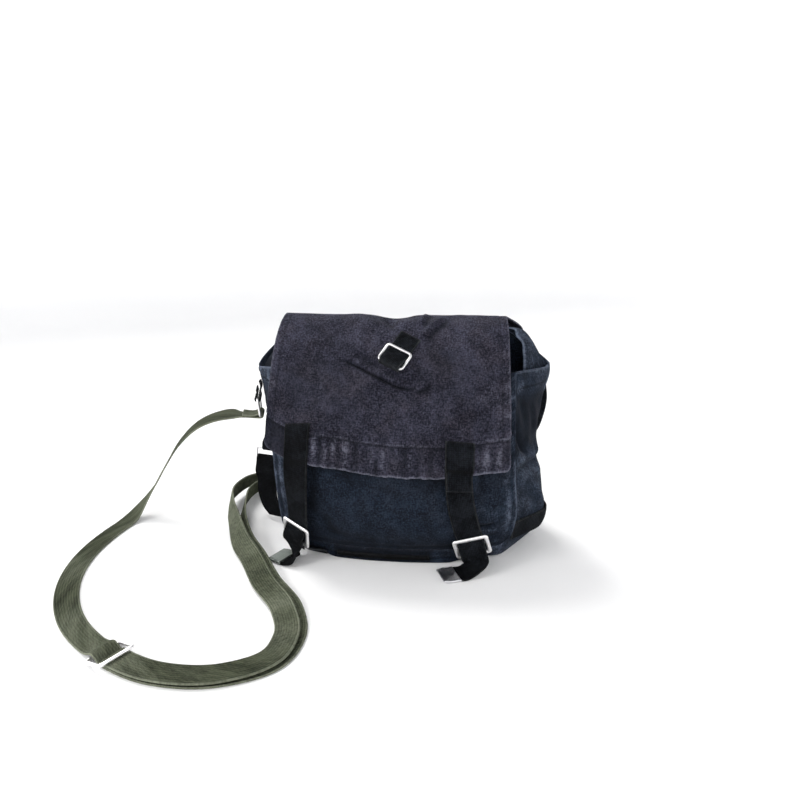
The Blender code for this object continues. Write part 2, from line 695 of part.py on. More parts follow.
def front_strap_path(side, top_x, sewn, heading, run, aside):
    """Path of a front strap: down the flap, behind the buckle's top bar, over its lower bar, along the
    surface that the bag stands on."""
    centre, ex, ey, ez = buckle_frame(side)
    half = (BUCKLE_HEIGHT - BUCKLE_BAR) / 2
    edge = flap_edge_down(top_x)
    downs = np.linspace(edge - sewn, edge - CLOTH, 6)
    lift = np.full(6, FLAT_LIFT + STRAP_EASE)
    on = on_flap(np.full(6, top_x), downs, lift)
    wide = unit(on_flap(np.full(6, top_x + STRAP_WIDTH / 2), downs, lift)
                - on_flap(np.full(6, top_x - STRAP_WIDTH / 2), downs, lift))
    behind = BUCKLE_THICK / 2 + WIRE_LIFT
    over = behind + LAYER + 4 * GAP
    through = np.array([centre + ey * (half + 0.011) - ez * behind,
                        centre + ey * half - ez * behind,
                        centre + ey * half * 0.40 + ez * over * 0.10,
                        centre - ey * half * 0.30 + ez * over * 0.85,
                        centre - ey * half + ez * over,
                        centre - ey * (half + 1.2 * BUCKLE_BAR) + ez * (over + 3 * GAP)])
    heading = unit(np.array([*heading, 0.0]))
    across = np.array([-heading[1], heading[0], 0.0])
    across = across * np.sign(np.dot(across, ex))
    floor = WEB / 2 + 2 * GAP
    land = through[-1] * (1, 1, 0) + unit(ex * (1, 1, 0)) * aside + heading * 0.008 + (0, 0, floor)
    tail = np.array([land - heading * 0.002 + (0, 0, 0.0035), land + heading * run * 0.4,
                     land + heading * run])
    line = np.concatenate([on, through, tail])
    turn = [unit(ex * 0.75 + across * 0.25), unit(ex * 0.3 + across * 0.7)]
    side_ways = np.concatenate([wide, np.tile(ex, (5, 1)), [turn[0]], [turn[1]], np.tile(across, (2, 1))])
    path = smooth_line(np.c_[line, side_ways], 44)
    for place in (-0.5, 0.0, 0.5):
        point = path[:, :3] + unit(path[:, 3:]) * STRAP_WIDTH * place
        clear = front_y(point[:, 0], point[:, 2]) - FLAT_LIFT - 3 * GAP
        beside = (point[:, 2] > PANEL_FOOT) & (np.abs(point[:, 0]) < PANEL_WIDTH / 2)
        path[:, 1] -= np.where(beside, np.maximum(point[:, 1] - clear, 0.0), 0.0)
    return path, land + heading * run, heading, across


def layer_over(path, lift):
    """The same path moved off its own face, to the side away from the bag."""
    normal = unit(np.cross(path[:, 3:], np.gradient(path[:, :3], axis=0)))
    normal = normal * np.sign(-normal[:, 1:2])
    return np.c_[path[:, :3] + normal * lift, path[:, 3:]]


def build_front_straps():
    """Front straps sewn on the flap, their patch, and the metal ends of their tails."""
    for side, top_x, sewn, heading, run, aside in (
            ("left", STRAP_LEFT_X, STRAP_TOP_LEFT, (-0.85, 0.45), 0.006, 0.009),
            ("right", STRAP_RIGHT_X, STRAP_TOP_RIGHT, (-0.90, -0.35), 0.012, 0.0)):
        path, end, heading, across = front_strap_path(side, top_x, sewn, heading, run, aside)
        ribbon("front_strap_" + side, path[:, :3], path[:, 3:], STRAP_WIDTH, "webbing")
        stations = np.array([0.0, 0.5, 0.85, 1.0])[:, None]
        tip = end + heading * (GAP + stations * TIP_LENGTH)
        tip[:, 2] = TIP_THICK / 2 + GAP
        width = STRAP_WIDTH * np.array([1.03, 1.03, 1.0, 0.90])[:, None, None]
        place = np.linspace(-0.5, 0.5, 3)[None, :, None]
        sheet("strap_tip_" + side, tip[:, None, :] + place * width * across, TIP_THICK, "metal")
        if side == "right":
            run = np.r_[0.0, np.cumsum(np.linalg.norm(np.diff(path[:, :3], axis=0), axis=1))]
            patch = layer_over(path, LAYER)[run <= PATCH_LENGTH]
            ribbon("strap_patch_right", patch[:, :3], patch[:, 3:], STRAP_WIDTH * 1.04, "webbing")


def build_buckles(grid):
    """Rectangular buckles and the short webbing that ties each to the base."""
    for side in ("left", "right"):
        frame = buckle_frame(side)
        centre, ex, ey, ez = frame
        ring("buckle_" + side, BUCKLE_WIDTH, BUCKLE_HEIGHT, 0.0035, BUCKLE_BAR, BUCKLE_THICK, frame)
        bar = centre - ey * (BUCKLE_HEIGHT - BUCKLE_BAR) / 2
        base_x = bar[0] + (0.85 * ANCHOR_WIDTH if side == "left" else -0.1 * ANCHOR_WIDTH)
        row = floor_row(grid, base_x)
        foot = on_grid(grid, np.full(3, row), np.array([1.3, 1.0, 0.6]), FLAT_LIFT + STRAP_EASE * 2)
        start = approach(bar, ey, ez, BUCKLE_THICK, 0.004)
        line = np.concatenate([foot, [start], fold_round(bar, ey, ez, BUCKLE_BAR, BUCKLE_THICK, 0.0065)])
        foot_wide = unit(on_grid(grid, row + 0.5, 1.0, 0.0) - on_grid(grid, row - 0.5, 1.0, 0.0))
        wide = np.concatenate([np.tile(foot_wide, (3, 1)), np.tile(ex, (len(line) - 3, 1))])
        path = smooth_line(np.c_[line, wide], 26)
        ribbon("buckle_anchor_" + side, path[:, :3], path[:, 3:], ANCHOR_WIDTH, "webbing")


def on_lid(across, along, lift):
    """Point beside the middle of the lid's ring: across and down the loop, lifted off the flap."""
    x = LOOP_X + across * math.cos(LOOP_TURN) - along * math.sin(LOOP_TURN)
    down = LOOP_DROP + across * math.sin(LOOP_TURN) + along * math.cos(LOOP_TURN)
    return on_flap(x, down, lift)


def build_lid_loop():
    """Webbing sewn on the lid, under the upper bar of its ring and folded round the lower bar."""
    half_w = (LID_RING_WIDTH - LID_RING_WIRE) / 2
    half_h = (LID_RING_HEIGHT - LID_RING_WIRE) / 2
    spread = np.array([-half_w, half_w])
    middle = on_lid(0.0, 0.0, 0.0)
    ends = on_lid(spread, np.zeros(2), np.zeros(2))
    sides = on_lid(np.zeros(2), np.array([-half_h, half_h]), np.zeros(2))
    centre, ex, ey, ez = frame_of(middle, ends[1] - ends[0], sides[0] - sides[1])
    height = CLOTH / 2 + WEB + 5 * GAP + LID_RING_WIRE / 2
    centre = centre + ez * height
    ring("lid_ring", LID_RING_WIDTH, LID_RING_HEIGHT, 0.0045, LID_RING_WIRE, LID_RING_WIRE,
         (centre, ex, ey, ez))
    bar = centre - ey * half_h
    clear = LID_RING_WIRE / 2 + WIRE_LIFT + GAP / 2
    along = np.linspace(-LOOP_REACH, -half_h + LID_RING_WIRE, 7)
    sewn = on_lid(np.zeros(7), along, FLAT_LIFT + GAP + STRAP_EASE * np.linspace(1.5, 0.0, 7))
    angle = np.radians(np.linspace(-90.0, 90.0, 7))[:, None]
    turn = bar - ey * np.cos(angle) * clear - ez * np.sin(angle) * clear
    rising = [turn[0] + ey * half_h * 0.9 - ez * 0.0013]
    back = [turn[-1] + ey * 0.004, turn[-1] + ey * 0.008]
    strip("lid_loop", [(sewn, ex), (rising, ex), (turn, ex), (back, ex)], LOOP_WIDTH)


# Straps and rings at the sides

def hung_ring(name, width, height, frame):
    """Wire ring, and the frame's two bars as places on its middle line: the upper, then the lower."""
    ring(name, width, height, RING_CORNER, RING_WIRE, RING_WIRE, frame)
    half = (height - RING_WIRE) / 2
    return frame[0] + frame[2] * half, frame[0] - frame[2] * half


def strip(name, parts, width):
    """Webbing through the given places and directions across, laid out evenly."""
    line = np.concatenate([np.c_[p, np.broadcast_to(w, np.shape(p))] for p, w in parts])
    run = np.linalg.norm(np.diff(line[:, :3], axis=0), axis=1).sum()
    path = smooth_line(line, int(run / 0.0011) + 8)
    keep = np.ones(len(path), bool)
    bend = np.linalg.norm(np.diff(unit(np.diff(path[:, :3], axis=0)), axis=0), axis=1)
    keep[1:-1] = (bend > 0.10) | (np.arange(len(bend)) % 7 == 0)
    ribbon(name, path[keep][:, :3], path[keep][:, 3:], width, "webbing")


def build_side_left():
    """Wide black strap that hangs at the left back corner from a ring, and the tab of that ring."""
    y = BACK_SEAM_Y + 0.0075
    ex = unit((0.97, -0.24, 0.0))
    frame = frame_of((SIDE_RING_X, y, SIDE_RING_Z), ex, (0.10, 0.25, 0.96))
    up, ez = frame[2], frame[3]
    width = SIDE_STRAP_WIDTH + 2.4 * RING_WIRE
    upper, lower = hung_ring("side_ring_left", width, SIDE_RING_HEIGHT, frame)
    top = upper[2] + SIDE_TAB_RISE
    sewn_x = upper[0] + 0.35 * SIDE_STRAP_WIDTH
    sewn_y = back_y(sewn_x, top) + FLAT_LIFT + STRAP_EASE
    sewn = np.array([(sewn_x, sewn_y, top), (sewn_x, sewn_y, top - 0.004)])
    bar = upper + ex * 0.10 * SIDE_STRAP_WIDTH
    tab = SIDE_STRAP_WIDTH * 0.72
    strip("side_tab_left", [(sewn, (1.0, 0.0, 0.0)), ([approach(bar, -up, -ez, RING_WIRE, 0.006)], ex),
                            (fold_round(bar, -up, -ez, RING_WIRE, RING_WIRE, 0.011), ex)], tab)
    fold = fold_round(lower, up, -ez, RING_WIRE, RING_WIRE, 0.014)[::-1]
    hang = [approach(lower, up, -ez, RING_WIRE, run) for run in (0.005, 0.018)]
    x = lower[0]
    under = np.array([(x - 0.001, y - 0.006, 0.040), (x + 0.001, y - 0.014, 0.026),
                      (x + 0.009, y - 0.026, 0.0125), (x + 0.019, y - 0.038, 0.0065)])
    ways = np.array([ex, (0.95, -0.30, 0.05), (0.90, -0.38, 0.16), (0.86, -0.46, 0.10)])
    strip("side_strap_left", [(fold, ex), (hang, ex), (under, ways)], SIDE_STRAP_WIDTH)


def left_ring_frame(grid):
    """Frame of the shoulder strap's left ring beside the gusset, with the ring's places on the gusset."""
    last = grid.shape[1] - 1
    y = STRAP_ROUTE[0, 1] * DEPTH
    column = float(np.interp(y, grid[4, :, 1], np.arange(last + 1)))
    z = grid_at(grid, np.arange(11), np.full(11, column))[:, 2]
    sewn_z = LEFT_TAB_Z - np.array([0.0, 0.006])
    rows = np.interp(-sewn_z, -z, np.arange(11))
    sewn = on_grid(grid, rows, np.full(2, column), FLAT_LIFT + STRAP_EASE)
    along_wall = unit(grid_at(grid, rows[1], column - 0.5) - grid_at(grid, rows[1], column + 0.5))
    centre = sewn[1] + (-0.0035, 0.0, -LEFT_TAB_LENGTH - STRAP_RING_HEIGHT / 2 + 0.006)
    return frame_of(centre, along_wall * (1, 1, 0), (-0.1, 0.0, 0.99)), sewn, along_wall


def right_ring_frame():
    """Frame of the shoulder strap's right ring, flat behind the back panel."""
    z = RIGHT_TAB_Z - RIGHT_TAB_LENGTH - STRAP_RING_HEIGHT / 2
    x = STRAP_ROUTE[-1, 0] * BACK_WIDTH / 2 + 0.25 * STRAP_WIDTH
    return frame_of((x, BACK_SEAM_Y + 0.0095, z), (-1.0, 0.0, 0.0), (0.0, 0.0, 1.0))


def build_ring_tabs(grid):
    """Rings of the shoulder strap and the black tabs that hold them."""
    frame, sewn, along_wall = left_ring_frame(grid)
    ex, up, ez = frame[1:]
    upper, _ = hung_ring("strap_ring_left", STRAP_RING_WIDTH, STRAP_RING_HEIGHT, frame)
    width = SHOULDER_WIDTH
    strip("ring_tab_left", [(sewn, along_wall), ([approach(upper, -up, ez, RING_WIRE, 0.005)], ex),
                            (fold_round(upper, -up, ez, RING_WIRE, RING_WIRE, 0.011), ex)], width)
    frame = right_ring_frame()
    up, ez = frame[2], frame[3]
    upper, _ = hung_ring("strap_ring_right", STRAP_RING_WIDTH, STRAP_RING_HEIGHT, frame)
    x_top = back_half_width(RIGHT_TAB_Z, 1) - 0.22 * STRAP_WIDTH
    tops = RIGHT_TAB_Z - np.array([0.0, 0.02, 0.04, 0.055])
    xs = np.linspace(x_top, upper[0], 5)[:4]
    ys = back_y(xs - 0.5 * width, tops) + FLAT_LIFT + STRAP_EASE
    wide = (1.0, 0.0, 0.0)
    strip("ring_tab_right", [(np.c_[xs, ys, tops], wide),
                             ([approach(upper, -up, ez, RING_WIRE, 0.006)], wide),
                             (fold_round(upper, -up, ez, RING_WIRE, RING_WIRE, 0.014), wide)], width)


# The shoulder strap

FLOOR_REST = WEB / 2 + GAP


def shoulder_path(grid):
    """Path of the shoulder strap between its rings: places, directions across, and distance along."""
    x, y = STRAP_ROUTE[:, 0] * BACK_WIDTH / 2, STRAP_ROUTE[:, 1] * DEPTH
    z = FLOOR_REST + STRAP_ROUTE[:, 2] * BACK_HEIGHT
    z = z + np.abs(np.sin(np.radians(STRAP_ROUTE[:, 3]))) * SHOULDER_WIDTH / 2
    left, right = left_ring_frame(grid)[0], right_ring_frame()
    half = (STRAP_RING_HEIGHT - RING_WIRE) / 2
    way = np.array((-0.99, 0.0, 0.08))
    way = unit(way - left[1] * np.dot(way, left[1]))
    out = unit(np.cross(way, left[1]))
    out = out * np.sign(out[2])
    start_bar = left[0] - left[2] * half
    end_bar = right[0] - right[2] * half
    line = np.c_[x, y, z, STRAP_ROUTE[:, 3]]
    start = approach(start_bar, -way, out, RING_WIRE, np.array([[0.004], [0.022]]))
    end = approach(end_bar, right[2], right[3], RING_WIRE, np.array([[0.022], [0.004]]))
    line = np.concatenate([np.c_[start, np.zeros(2)], line, np.c_[end, np.zeros(2)]])
    path = smooth_line(line, 900)
    low_edge = np.abs(np.sin(np.radians(path[:, 3]))) * SHOULDER_WIDTH / 2
    path[:, 2] = np.maximum(path[:, 2], FLOOR_REST + low_edge)
    run = np.r_[0.0, np.cumsum(np.linalg.norm(np.diff(path[:, :3], axis=0), axis=1))]
    tangent = unit(np.gradient(path[:, :3], axis=0))
    flat = unit(np.c_[-tangent[:, 1], tangent[:, 0], np.zeros(len(path))])
    steep = np.clip((path[:, 2] - 0.002) / 0.03, 0.0, 1.0)[:, None]
    at_left = (steep > 0) & (run < run[-1] / 2)[:, None]
    at_right = (steep > 0) & (run > run[-1] * 0.8)[:, None]
    left_way = left[1] * np.sign(left[1][1] * flat[5, 1])
    right_way = np.array([np.sign(flat[-60, 0]), 0.0, 0.0])
    flat = np.where(at_left, unit(flat * (1 - steep) + left_way * steep), flat)
    flat = np.where(at_right, unit(flat * (1 - steep) + right_way * steep), flat)
    lean = np.radians(path[:, 3])[:, None]
    across = flat * np.cos(lean) + np.array([0.0, 0.0, 1.0]) * np.sin(lean)
    return path[:, :3], unit(across), run, (start_bar, way, out), (end_bar, right)


def build_shoulder_strap(grid):
    """Olive strap from ring to ring, its doubled layer and the plain slide that joins them."""
    points, across, run, (start_bar, way, out), (end_bar, right) = shoulder_path(grid)
    x, y = STRAP_ROUTE[SLIDE_ROW, :2] * (BACK_WIDTH / 2, DEPTH)
    slide = np.argmin(np.hypot(points[:, 0] - x, points[:, 1] - y))
    hump = SLIDE_BAR + LAYER
    lift = hump * np.exp(-((run - run[slide]) / (SLIDE_BAR * 2.2)) ** 2)
    raised = points + np.c_[np.zeros((len(points), 2)), lift]
    stations = np.arange(0.0, run[-1], 0.0095)
    near = run[slide] + np.linspace(-0.014, 0.014, 12)
    ends = np.r_[0.004, run[-1] - 0.004, run[-1]]
    stations = np.unique(np.round(np.r_[stations[np.abs(stations - run[slide]) > 0.016], near, ends], 5))
    at = np.interp(stations, run, np.arange(len(run)))
    line = np.stack([np.interp(at, np.arange(len(run)), raised[:, k]) for k in range(3)], axis=1)
    wide = np.stack([np.interp(at, np.arange(len(run)), across[:, k]) for k in range(3)], axis=1)
    fold = fold_round(start_bar, -way, out, RING_WIRE, RING_WIRE, FOLD_BACK)[::-1]
    other = fold_round(end_bar, right[2], right[3], RING_WIRE, RING_WIRE, FOLD_BACK)
    line = np.concatenate([fold, line, other])
    wide = np.concatenate([np.tile(wide[0], (len(fold), 1)), wide, np.tile(wide[-1], (len(other), 1))])
    ribbon("shoulder_strap", line, wide, SHOULDER_WIDTH, "olive")

    tangent = unit(np.gradient(points, axis=0))
    normal = unit(np.cross(tangent, across))
    normal = normal * np.sign(normal[:, 2:3] + 1e-9)
    flip = np.sign(np.sum(normal * np.r_[normal[:1], normal[:-1]], axis=1))
    normal = normal * np.cumprod(flip)[:, None]
    begin, stop = run[slide] + 0.012, run[-1] - FOLD_BACK - 0.012
    stations = np.linspace(begin, stop, 84)
    share = (stations - begin) / (stop - begin)
    at = np.interp(stations, run, np.arange(len(run)))
    take = np.round(at).astype(int)
    shift = curve(RETURN_ROWS, 1, share) * SHOULDER_WIDTH
    stand = LAYER * (1.15 + curve(RETURN_ROWS, 2, share))
    second = points[take] + normal[take] * stand[:, None] + across[take] * shift[:, None]
    ribbon("strap_return", second, across[take], SHOULDER_WIDTH, "olive")
    bar = points[slide] + np.array([0.0, 0.0, (SLIDE_BAR - WEB) / 2])
    slide_frame = frame_of(bar + tangent[slide] * (SLIDE_HEIGHT - SLIDE_BAR) / 2 * 0.97 + (0, 0, LAYER),
                           across[slide], -tangent[slide] * 0.97 - np.array([0.0, 0.0, 0.24]))
    ring("strap_slide", SHOULDER_WIDTH + 3.5 * SLIDE_BAR, SLIDE_HEIGHT, RING_CORNER, SLIDE_BAR, SLIDE_BAR,
         slide_frame)


for old in list(bpy.data.objects):
    bpy.data.objects.remove(old)
GUSSET = gusset_grid()
build_bag()
build_flap()
build_ears()
build_front_straps()
build_buckles(GUSSET)
build_bands(GUSSET)
build_lid_loop()
build_side_left()
build_ring_tabs(GUSSET)
build_shoulder_strap(GUSSET)
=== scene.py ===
"""Small canvas haversack with its lid flap closed, in metres: the front faces -Y and Z is up."""
import json
import math

import bpy
import numpy as np
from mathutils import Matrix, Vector

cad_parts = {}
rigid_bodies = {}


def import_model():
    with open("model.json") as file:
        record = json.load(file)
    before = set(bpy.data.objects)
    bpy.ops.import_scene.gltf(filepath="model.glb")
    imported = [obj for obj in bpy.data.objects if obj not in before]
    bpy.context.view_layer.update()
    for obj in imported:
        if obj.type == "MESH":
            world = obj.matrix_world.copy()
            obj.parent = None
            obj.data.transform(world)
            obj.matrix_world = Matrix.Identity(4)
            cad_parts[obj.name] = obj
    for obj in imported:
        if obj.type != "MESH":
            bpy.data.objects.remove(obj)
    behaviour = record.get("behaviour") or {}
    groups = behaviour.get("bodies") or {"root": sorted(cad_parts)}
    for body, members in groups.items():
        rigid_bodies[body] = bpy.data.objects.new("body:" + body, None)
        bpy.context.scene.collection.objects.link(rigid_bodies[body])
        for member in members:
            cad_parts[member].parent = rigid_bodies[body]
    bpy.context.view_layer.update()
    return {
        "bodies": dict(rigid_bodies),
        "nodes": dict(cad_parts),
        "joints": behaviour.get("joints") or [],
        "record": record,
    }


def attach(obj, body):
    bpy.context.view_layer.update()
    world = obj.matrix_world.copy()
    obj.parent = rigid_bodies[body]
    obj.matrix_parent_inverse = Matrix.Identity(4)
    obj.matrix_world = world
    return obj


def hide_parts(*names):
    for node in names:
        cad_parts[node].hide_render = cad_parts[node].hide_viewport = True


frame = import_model()


# Front panel: one piece of heavy navy canvas, bagged out by what is inside it. It is cut with round
# lower corners and sewn to the gusset with a lip all round, and its mouth has a turned hem.
CLOTH = 0.0018
GAP = 0.0003
SEAM_LIP = 0.003
SEAM_EASE = 0.0004
RIDGE_HEIGHT = 0.239
PANEL_WIDTH = 0.250
PANEL_CORNER = 0.016
PANEL_FOOT = 0.018
MOUTH_HEIGHT = 0.8033 * RIDGE_HEIGHT
FRONT_SEAM_Y = -0.046
BACK_SEAM_Y = 0.048
DEPTH = BACK_SEAM_Y - FRONT_SEAM_Y
BELLY = 0.034

# A row for each height: share of the mouth's height, how far the side edges lie behind the seam as a
# share of the depth, belly as a share of BELLY, half width at the left and right as shares of half of
# PANEL_WIDTH
FRONT_ROWS = np.array([
    (0.00, 0.08, 0.50, 0.86, 0.970),
    (0.10, 0.03, 0.66, 0.89, 0.985),
    (0.27, 0.00, 0.92, 0.92, 1.030),
    (0.46, 0.00, 1.00, 0.94, 1.005),
    (0.63, 0.05, 0.88, 0.96, 0.990),
    (0.81, 0.16, 0.58, 0.98, 0.985),
    (1.00, 0.31, 0.15, 0.98, 0.980),
])


def curve(table, column, where):
    """Smooth value of one column of a table at places of its first: a cubic between each two rows."""
    x, y = table[:, 0], table[:, column]
    slope = np.gradient(y, x)
    where = np.clip(np.asarray(where, float), x[0], x[-1])
    i = np.clip(np.searchsorted(x, where) - 1, 0, len(x) - 2)
    h = x[i + 1] - x[i]
    t = (where - x[i]) / h
    return ((2 * t**3 - 3 * t**2 + 1) * y[i] + (t**3 - 2 * t**2 + t) * h * slope[i]
            + (3 * t**2 - 2 * t**3) * y[i + 1] + (t**3 - t**2) * h * slope[i + 1])


def smooth_columns(knots, columns, where):
    """Smooth values of all columns at the places where, from what they are at the knots."""
    table = np.c_[knots, columns]
    return np.stack([curve(table, k, where) for k in range(1, table.shape[1])], axis=1)


def unit(v):
    """Vectors of length one."""
    v = np.asarray(v, float)
    return v / np.maximum(np.linalg.norm(v, axis=-1, keepdims=True), 1e-12)


def ease(x, low, high):
    """Rises smoothly from 0 at low to 1 at high: three t squared less two t cubed."""
    t = np.clip((np.asarray(x, float) - low) / (high - low), 0.0, 1.0)
    return t * t * (3 - 2 * t)


def bump(x, centre, width):
    """Rounded bump, one at the centre: e to the minus square of the distance over the width."""
    return np.exp(-((np.asarray(x, float) - centre) / width) ** 2)


def rumple(u, v, size, seed):
    """Smooth random height between -1 and 1: a lattice of seeded values, size apart, eased between."""
    u, v = np.broadcast_arrays(np.asarray(u, float) / size + 50.0, np.asarray(v, float) / size + 50.0)
    lattice = np.random.default_rng(seed).uniform(-1.0, 1.0, (101, 101))
    i, j = np.floor(u).astype(int) % 100, np.floor(v).astype(int) % 100
    a, b = u - np.floor(u), v - np.floor(v)
    a, b = a**3 * (a * (6 * a - 15) + 10), b**3 * (b * (6 * b - 15) + 10)
    return ((lattice[i, j] * (1 - a) + lattice[i + 1, j] * a) * (1 - b)
            + (lattice[i, j + 1] * (1 - a) + lattice[i + 1, j + 1] * a) * b)


def along_line(u, v, points):
    """Distance to a line through the points, its side (-1 or 1) and the share of the way along it."""
    points = np.asarray(points, float)
    start, step = points[:-1], np.diff(points, axis=0)
    lengths = np.linalg.norm(step, axis=1)
    du, dv = u[..., None] - start[:, 0], v[..., None] - start[:, 1]
    t = np.clip((du * step[:, 0] + dv * step[:, 1]) / lengths**2, 0.0, 1.0)
    off_u, off_v = du - t * step[:, 0], dv - t * step[:, 1]
    away = np.hypot(off_u, off_v)
    near = np.argmin(away, axis=-1)[..., None]
    run = np.r_[0.0, np.cumsum(lengths)]
    side = np.sign(step[:, 0] * dv - step[:, 1] * du)
    values = (away, side, run[:-1] + t * lengths)
    away, side, way = (np.take_along_axis(each, near, axis=-1)[..., 0] for each in values)
    return away, side, way / run[-1]


def fold(u, v, points, width, height, lip=0.0, fade_in=0.25):
    """Crease along a line of points: a rounded groove or ridge, and a softer lip on its right side.

    It fades out over the first and last share of the line.
    """
    knots, fine = np.linspace(0.0, 1.0, len(points)), np.linspace(0.0, 1.0, 8 * len(points))
    away, side, share = along_line(u, v, smooth_columns(knots, points, fine))
    fade = ease(share, -0.02, fade_in) * (1 - ease(share, 1 - fade_in, 1.02))
    groove = height * bump(away, 0.0, width)
    beside = lip * bump(away * side, -1.9 * width, 1.5 * width)
    return (groove + beside) * fade


def folded(rise, u, v, folds):
    """Relief with the folds of a table added: points, width, height and lip of each."""
    for points, width, height, lip in folds:
        rise = rise + fold(u, v, points, width, height, lip)
    return rise


def by_side(table, column, where, side):
    """Smooth value of a table's column, or of the next one where side isn't below zero, the left."""
    return np.where(np.asarray(side) < 0, curve(table, column, where), curve(table, column + 1, where))


def front_half_width(z, side):
    """Half width of the front panel at a height; side is below zero for the left."""
    return PANEL_WIDTH / 2 * by_side(FRONT_ROWS, 3, z / MOUTH_HEIGHT, side)


def front_y(x, z):
    """Depth of the front panel's middle surface: its side edge by height, swollen in the middle."""
    share = z / MOUTH_HEIGHT
    edge = FRONT_SEAM_Y + DEPTH * curve(FRONT_ROWS, 1, share)
    round_off = 1 - np.minimum(1.0, np.abs(x) / front_half_width(z, x)) ** 2.2
    return edge - BELLY * curve(FRONT_ROWS, 2, share) * round_off


def panel_grid(half_width, foot, corner, top_edge, depth, across, up):
    """Panel on a grid: columns across it, each rising evenly from the rounded foot to the top edge."""
    spread = np.linspace(-1, 1, across)
    u = np.sin(spread * math.pi / 2) * 0.35 + spread * 0.65
    low_width = half_width(foot + corner, np.where(u < 0, -1, 1))
    q = np.clip((np.abs(u) * low_width - (low_width - corner)) / corner, 0.0, 1.0)
    z_low = foot + corner * (1 - np.sqrt(1 - q**2))
    z = z_low + np.linspace(0.0, 1.0, up)[:, None] * (top_edge(u) - z_low)
    x = u * half_width(z, u)
    return np.stack([x, depth(x, z), z], axis=-1)


def normals_of(grid):
    """Directions square to a grid, all to one side of it."""
    return unit(np.cross(np.gradient(grid, axis=0), np.gradient(grid, axis=1)))


def directions(grid, toward):
    """Normals of a grid, turned to the side that the direction toward points to."""
    normal = normals_of(grid)
    middle = normal.reshape(-1, 3).mean(axis=0)
    return normal * (1.0 if np.dot(middle, toward) >= 0 else -1.0)


def lengths_on(grid):
    """Distances over the cloth in metres, across and along, measured from its middle lines."""
    rows, columns = grid.shape[:2]
    across = np.linalg.norm(np.diff(grid, axis=1), axis=-1)
    along = np.linalg.norm(np.diff(grid, axis=0), axis=-1)
    u = np.concatenate([np.zeros((rows, 1)), np.cumsum(across, axis=1)], axis=1)
    v = np.concatenate([np.zeros((1, columns)), np.cumsum(along, axis=0)], axis=0)
    return u - u[:, columns // 2][:, None], v - v[rows // 2][None, :]


def cloth_piece(name, grid, normal, thick, marks=None, size_of=None):
    """Closed piece of cloth: the grid moved half its thickness each way, joined by a half round edge.

    thick is one number or one for each point. marks are named values for the material, one for each
    point. The UV map is the distance over the cloth in metres, taken from size_of where it is given.
    """
    rows, columns = grid.shape[:2]
    half = np.broadcast_to(np.asarray(thick, float) / 2, (rows, columns))[..., None]
    at = np.arange(rows * columns).reshape(rows, columns)
    edge = np.concatenate([at[0, :-1], at[:-1, -1], at[-1, :0:-1], at[:0:-1, 0]])
    i, j = np.divmod(edge, columns)
    inner = grid[np.clip(i, 1, rows - 2), np.clip(j, 1, columns - 2)]
    face = normal.reshape(-1, 3)[edge]
    out = grid.reshape(-1, 3)[edge] - inner
    out = unit(out - np.sum(out * face, axis=1, keepdims=True) * face)
    rim_half = half.reshape(-1, 1)[edge]
    base = grid.copy().reshape(-1, 3)
    base[edge] -= out * rim_half * 0.8
    middle = base.reshape(rows, columns, 3)
    front, back = middle + normal * half, middle - normal * half
    turns = np.radians([45.0, 0.0, -45.0])
    rim = [base[edge] + rim_half * (face * math.sin(a) + out * math.cos(a)) for a in turns]
    verts = np.concatenate([front.reshape(-1, 3), back.reshape(-1, 3), *rim])
    quads = np.stack([at[:-1, :-1], at[1:, :-1], at[1:, 1:], at[:-1, 1:]], axis=-1).reshape(-1, 4)
    total, loop = rows * columns, len(edge)
    rings = [edge] + [2 * total + k * loop + np.arange(loop) for k in range(3)] + [edge + total]
    walls = [np.stack([a, np.roll(a, -1), np.roll(b, -1), b], axis=-1) for a, b in zip(rings, rings[1:])]
    faces = np.concatenate([quads, quads[:, ::-1] + total, *walls])
    source = np.concatenate([at.ravel(), at.ravel(), edge, edge, edge])
    sample = verts[faces[:len(quads)]]
    turn = np.cross(sample[:, 1] - sample[:, 0], sample[:, 2] - sample[:, 0])
    if np.sum(turn * normal.reshape(-1, 3)[quads[:, 0]]) < 0:
        faces[:2 * len(quads)] = faces[:2 * len(quads), ::-1]
    else:
        faces[2 * len(quads):] = faces[2 * len(quads):, ::-1]
    u, v = lengths_on(grid if size_of is None else size_of)
    place = np.stack([u.ravel(), v.ravel()], axis=1)[source]
    return mesh_piece(name, verts, faces, place, {k: np.asarray(m, float).ravel()[source]
                                                  for k, m in (marks or {}).items()})


def mesh_piece(name, verts, faces, place=None, marks=None):
    """Object from corners and four-sided faces, with a UV map by corner and named values."""
    mesh = bpy.data.meshes.new(name)
    mesh.vertices.add(len(verts))
    mesh.vertices.foreach_set("co", np.asarray(verts, np.float32).ravel())
    mesh.loops.add(faces.size)
    mesh.loops.foreach_set("vertex_index", faces.astype(np.int32).ravel())
    mesh.polygons.add(len(faces))
    mesh.polygons.foreach_set("loop_start", np.arange(0, faces.size, faces.shape[1], dtype=np.int32))
    mesh.update(calc_edges=True)
    if place is not None:
        layer = mesh.uv_layers.new(name="cloth")
        layer.data.foreach_set("uv", place[faces.ravel()].astype(np.float32).ravel())
    for key, values in (marks or {}).items():
        mesh.attributes.new(key, "FLOAT", "POINT").data.foreach_set("value", values.astype(np.float32))
    mesh.shade_smooth()
    made = bpy.data.objects.new(name, mesh)
    bpy.context.collection.objects.link(made)
    return made


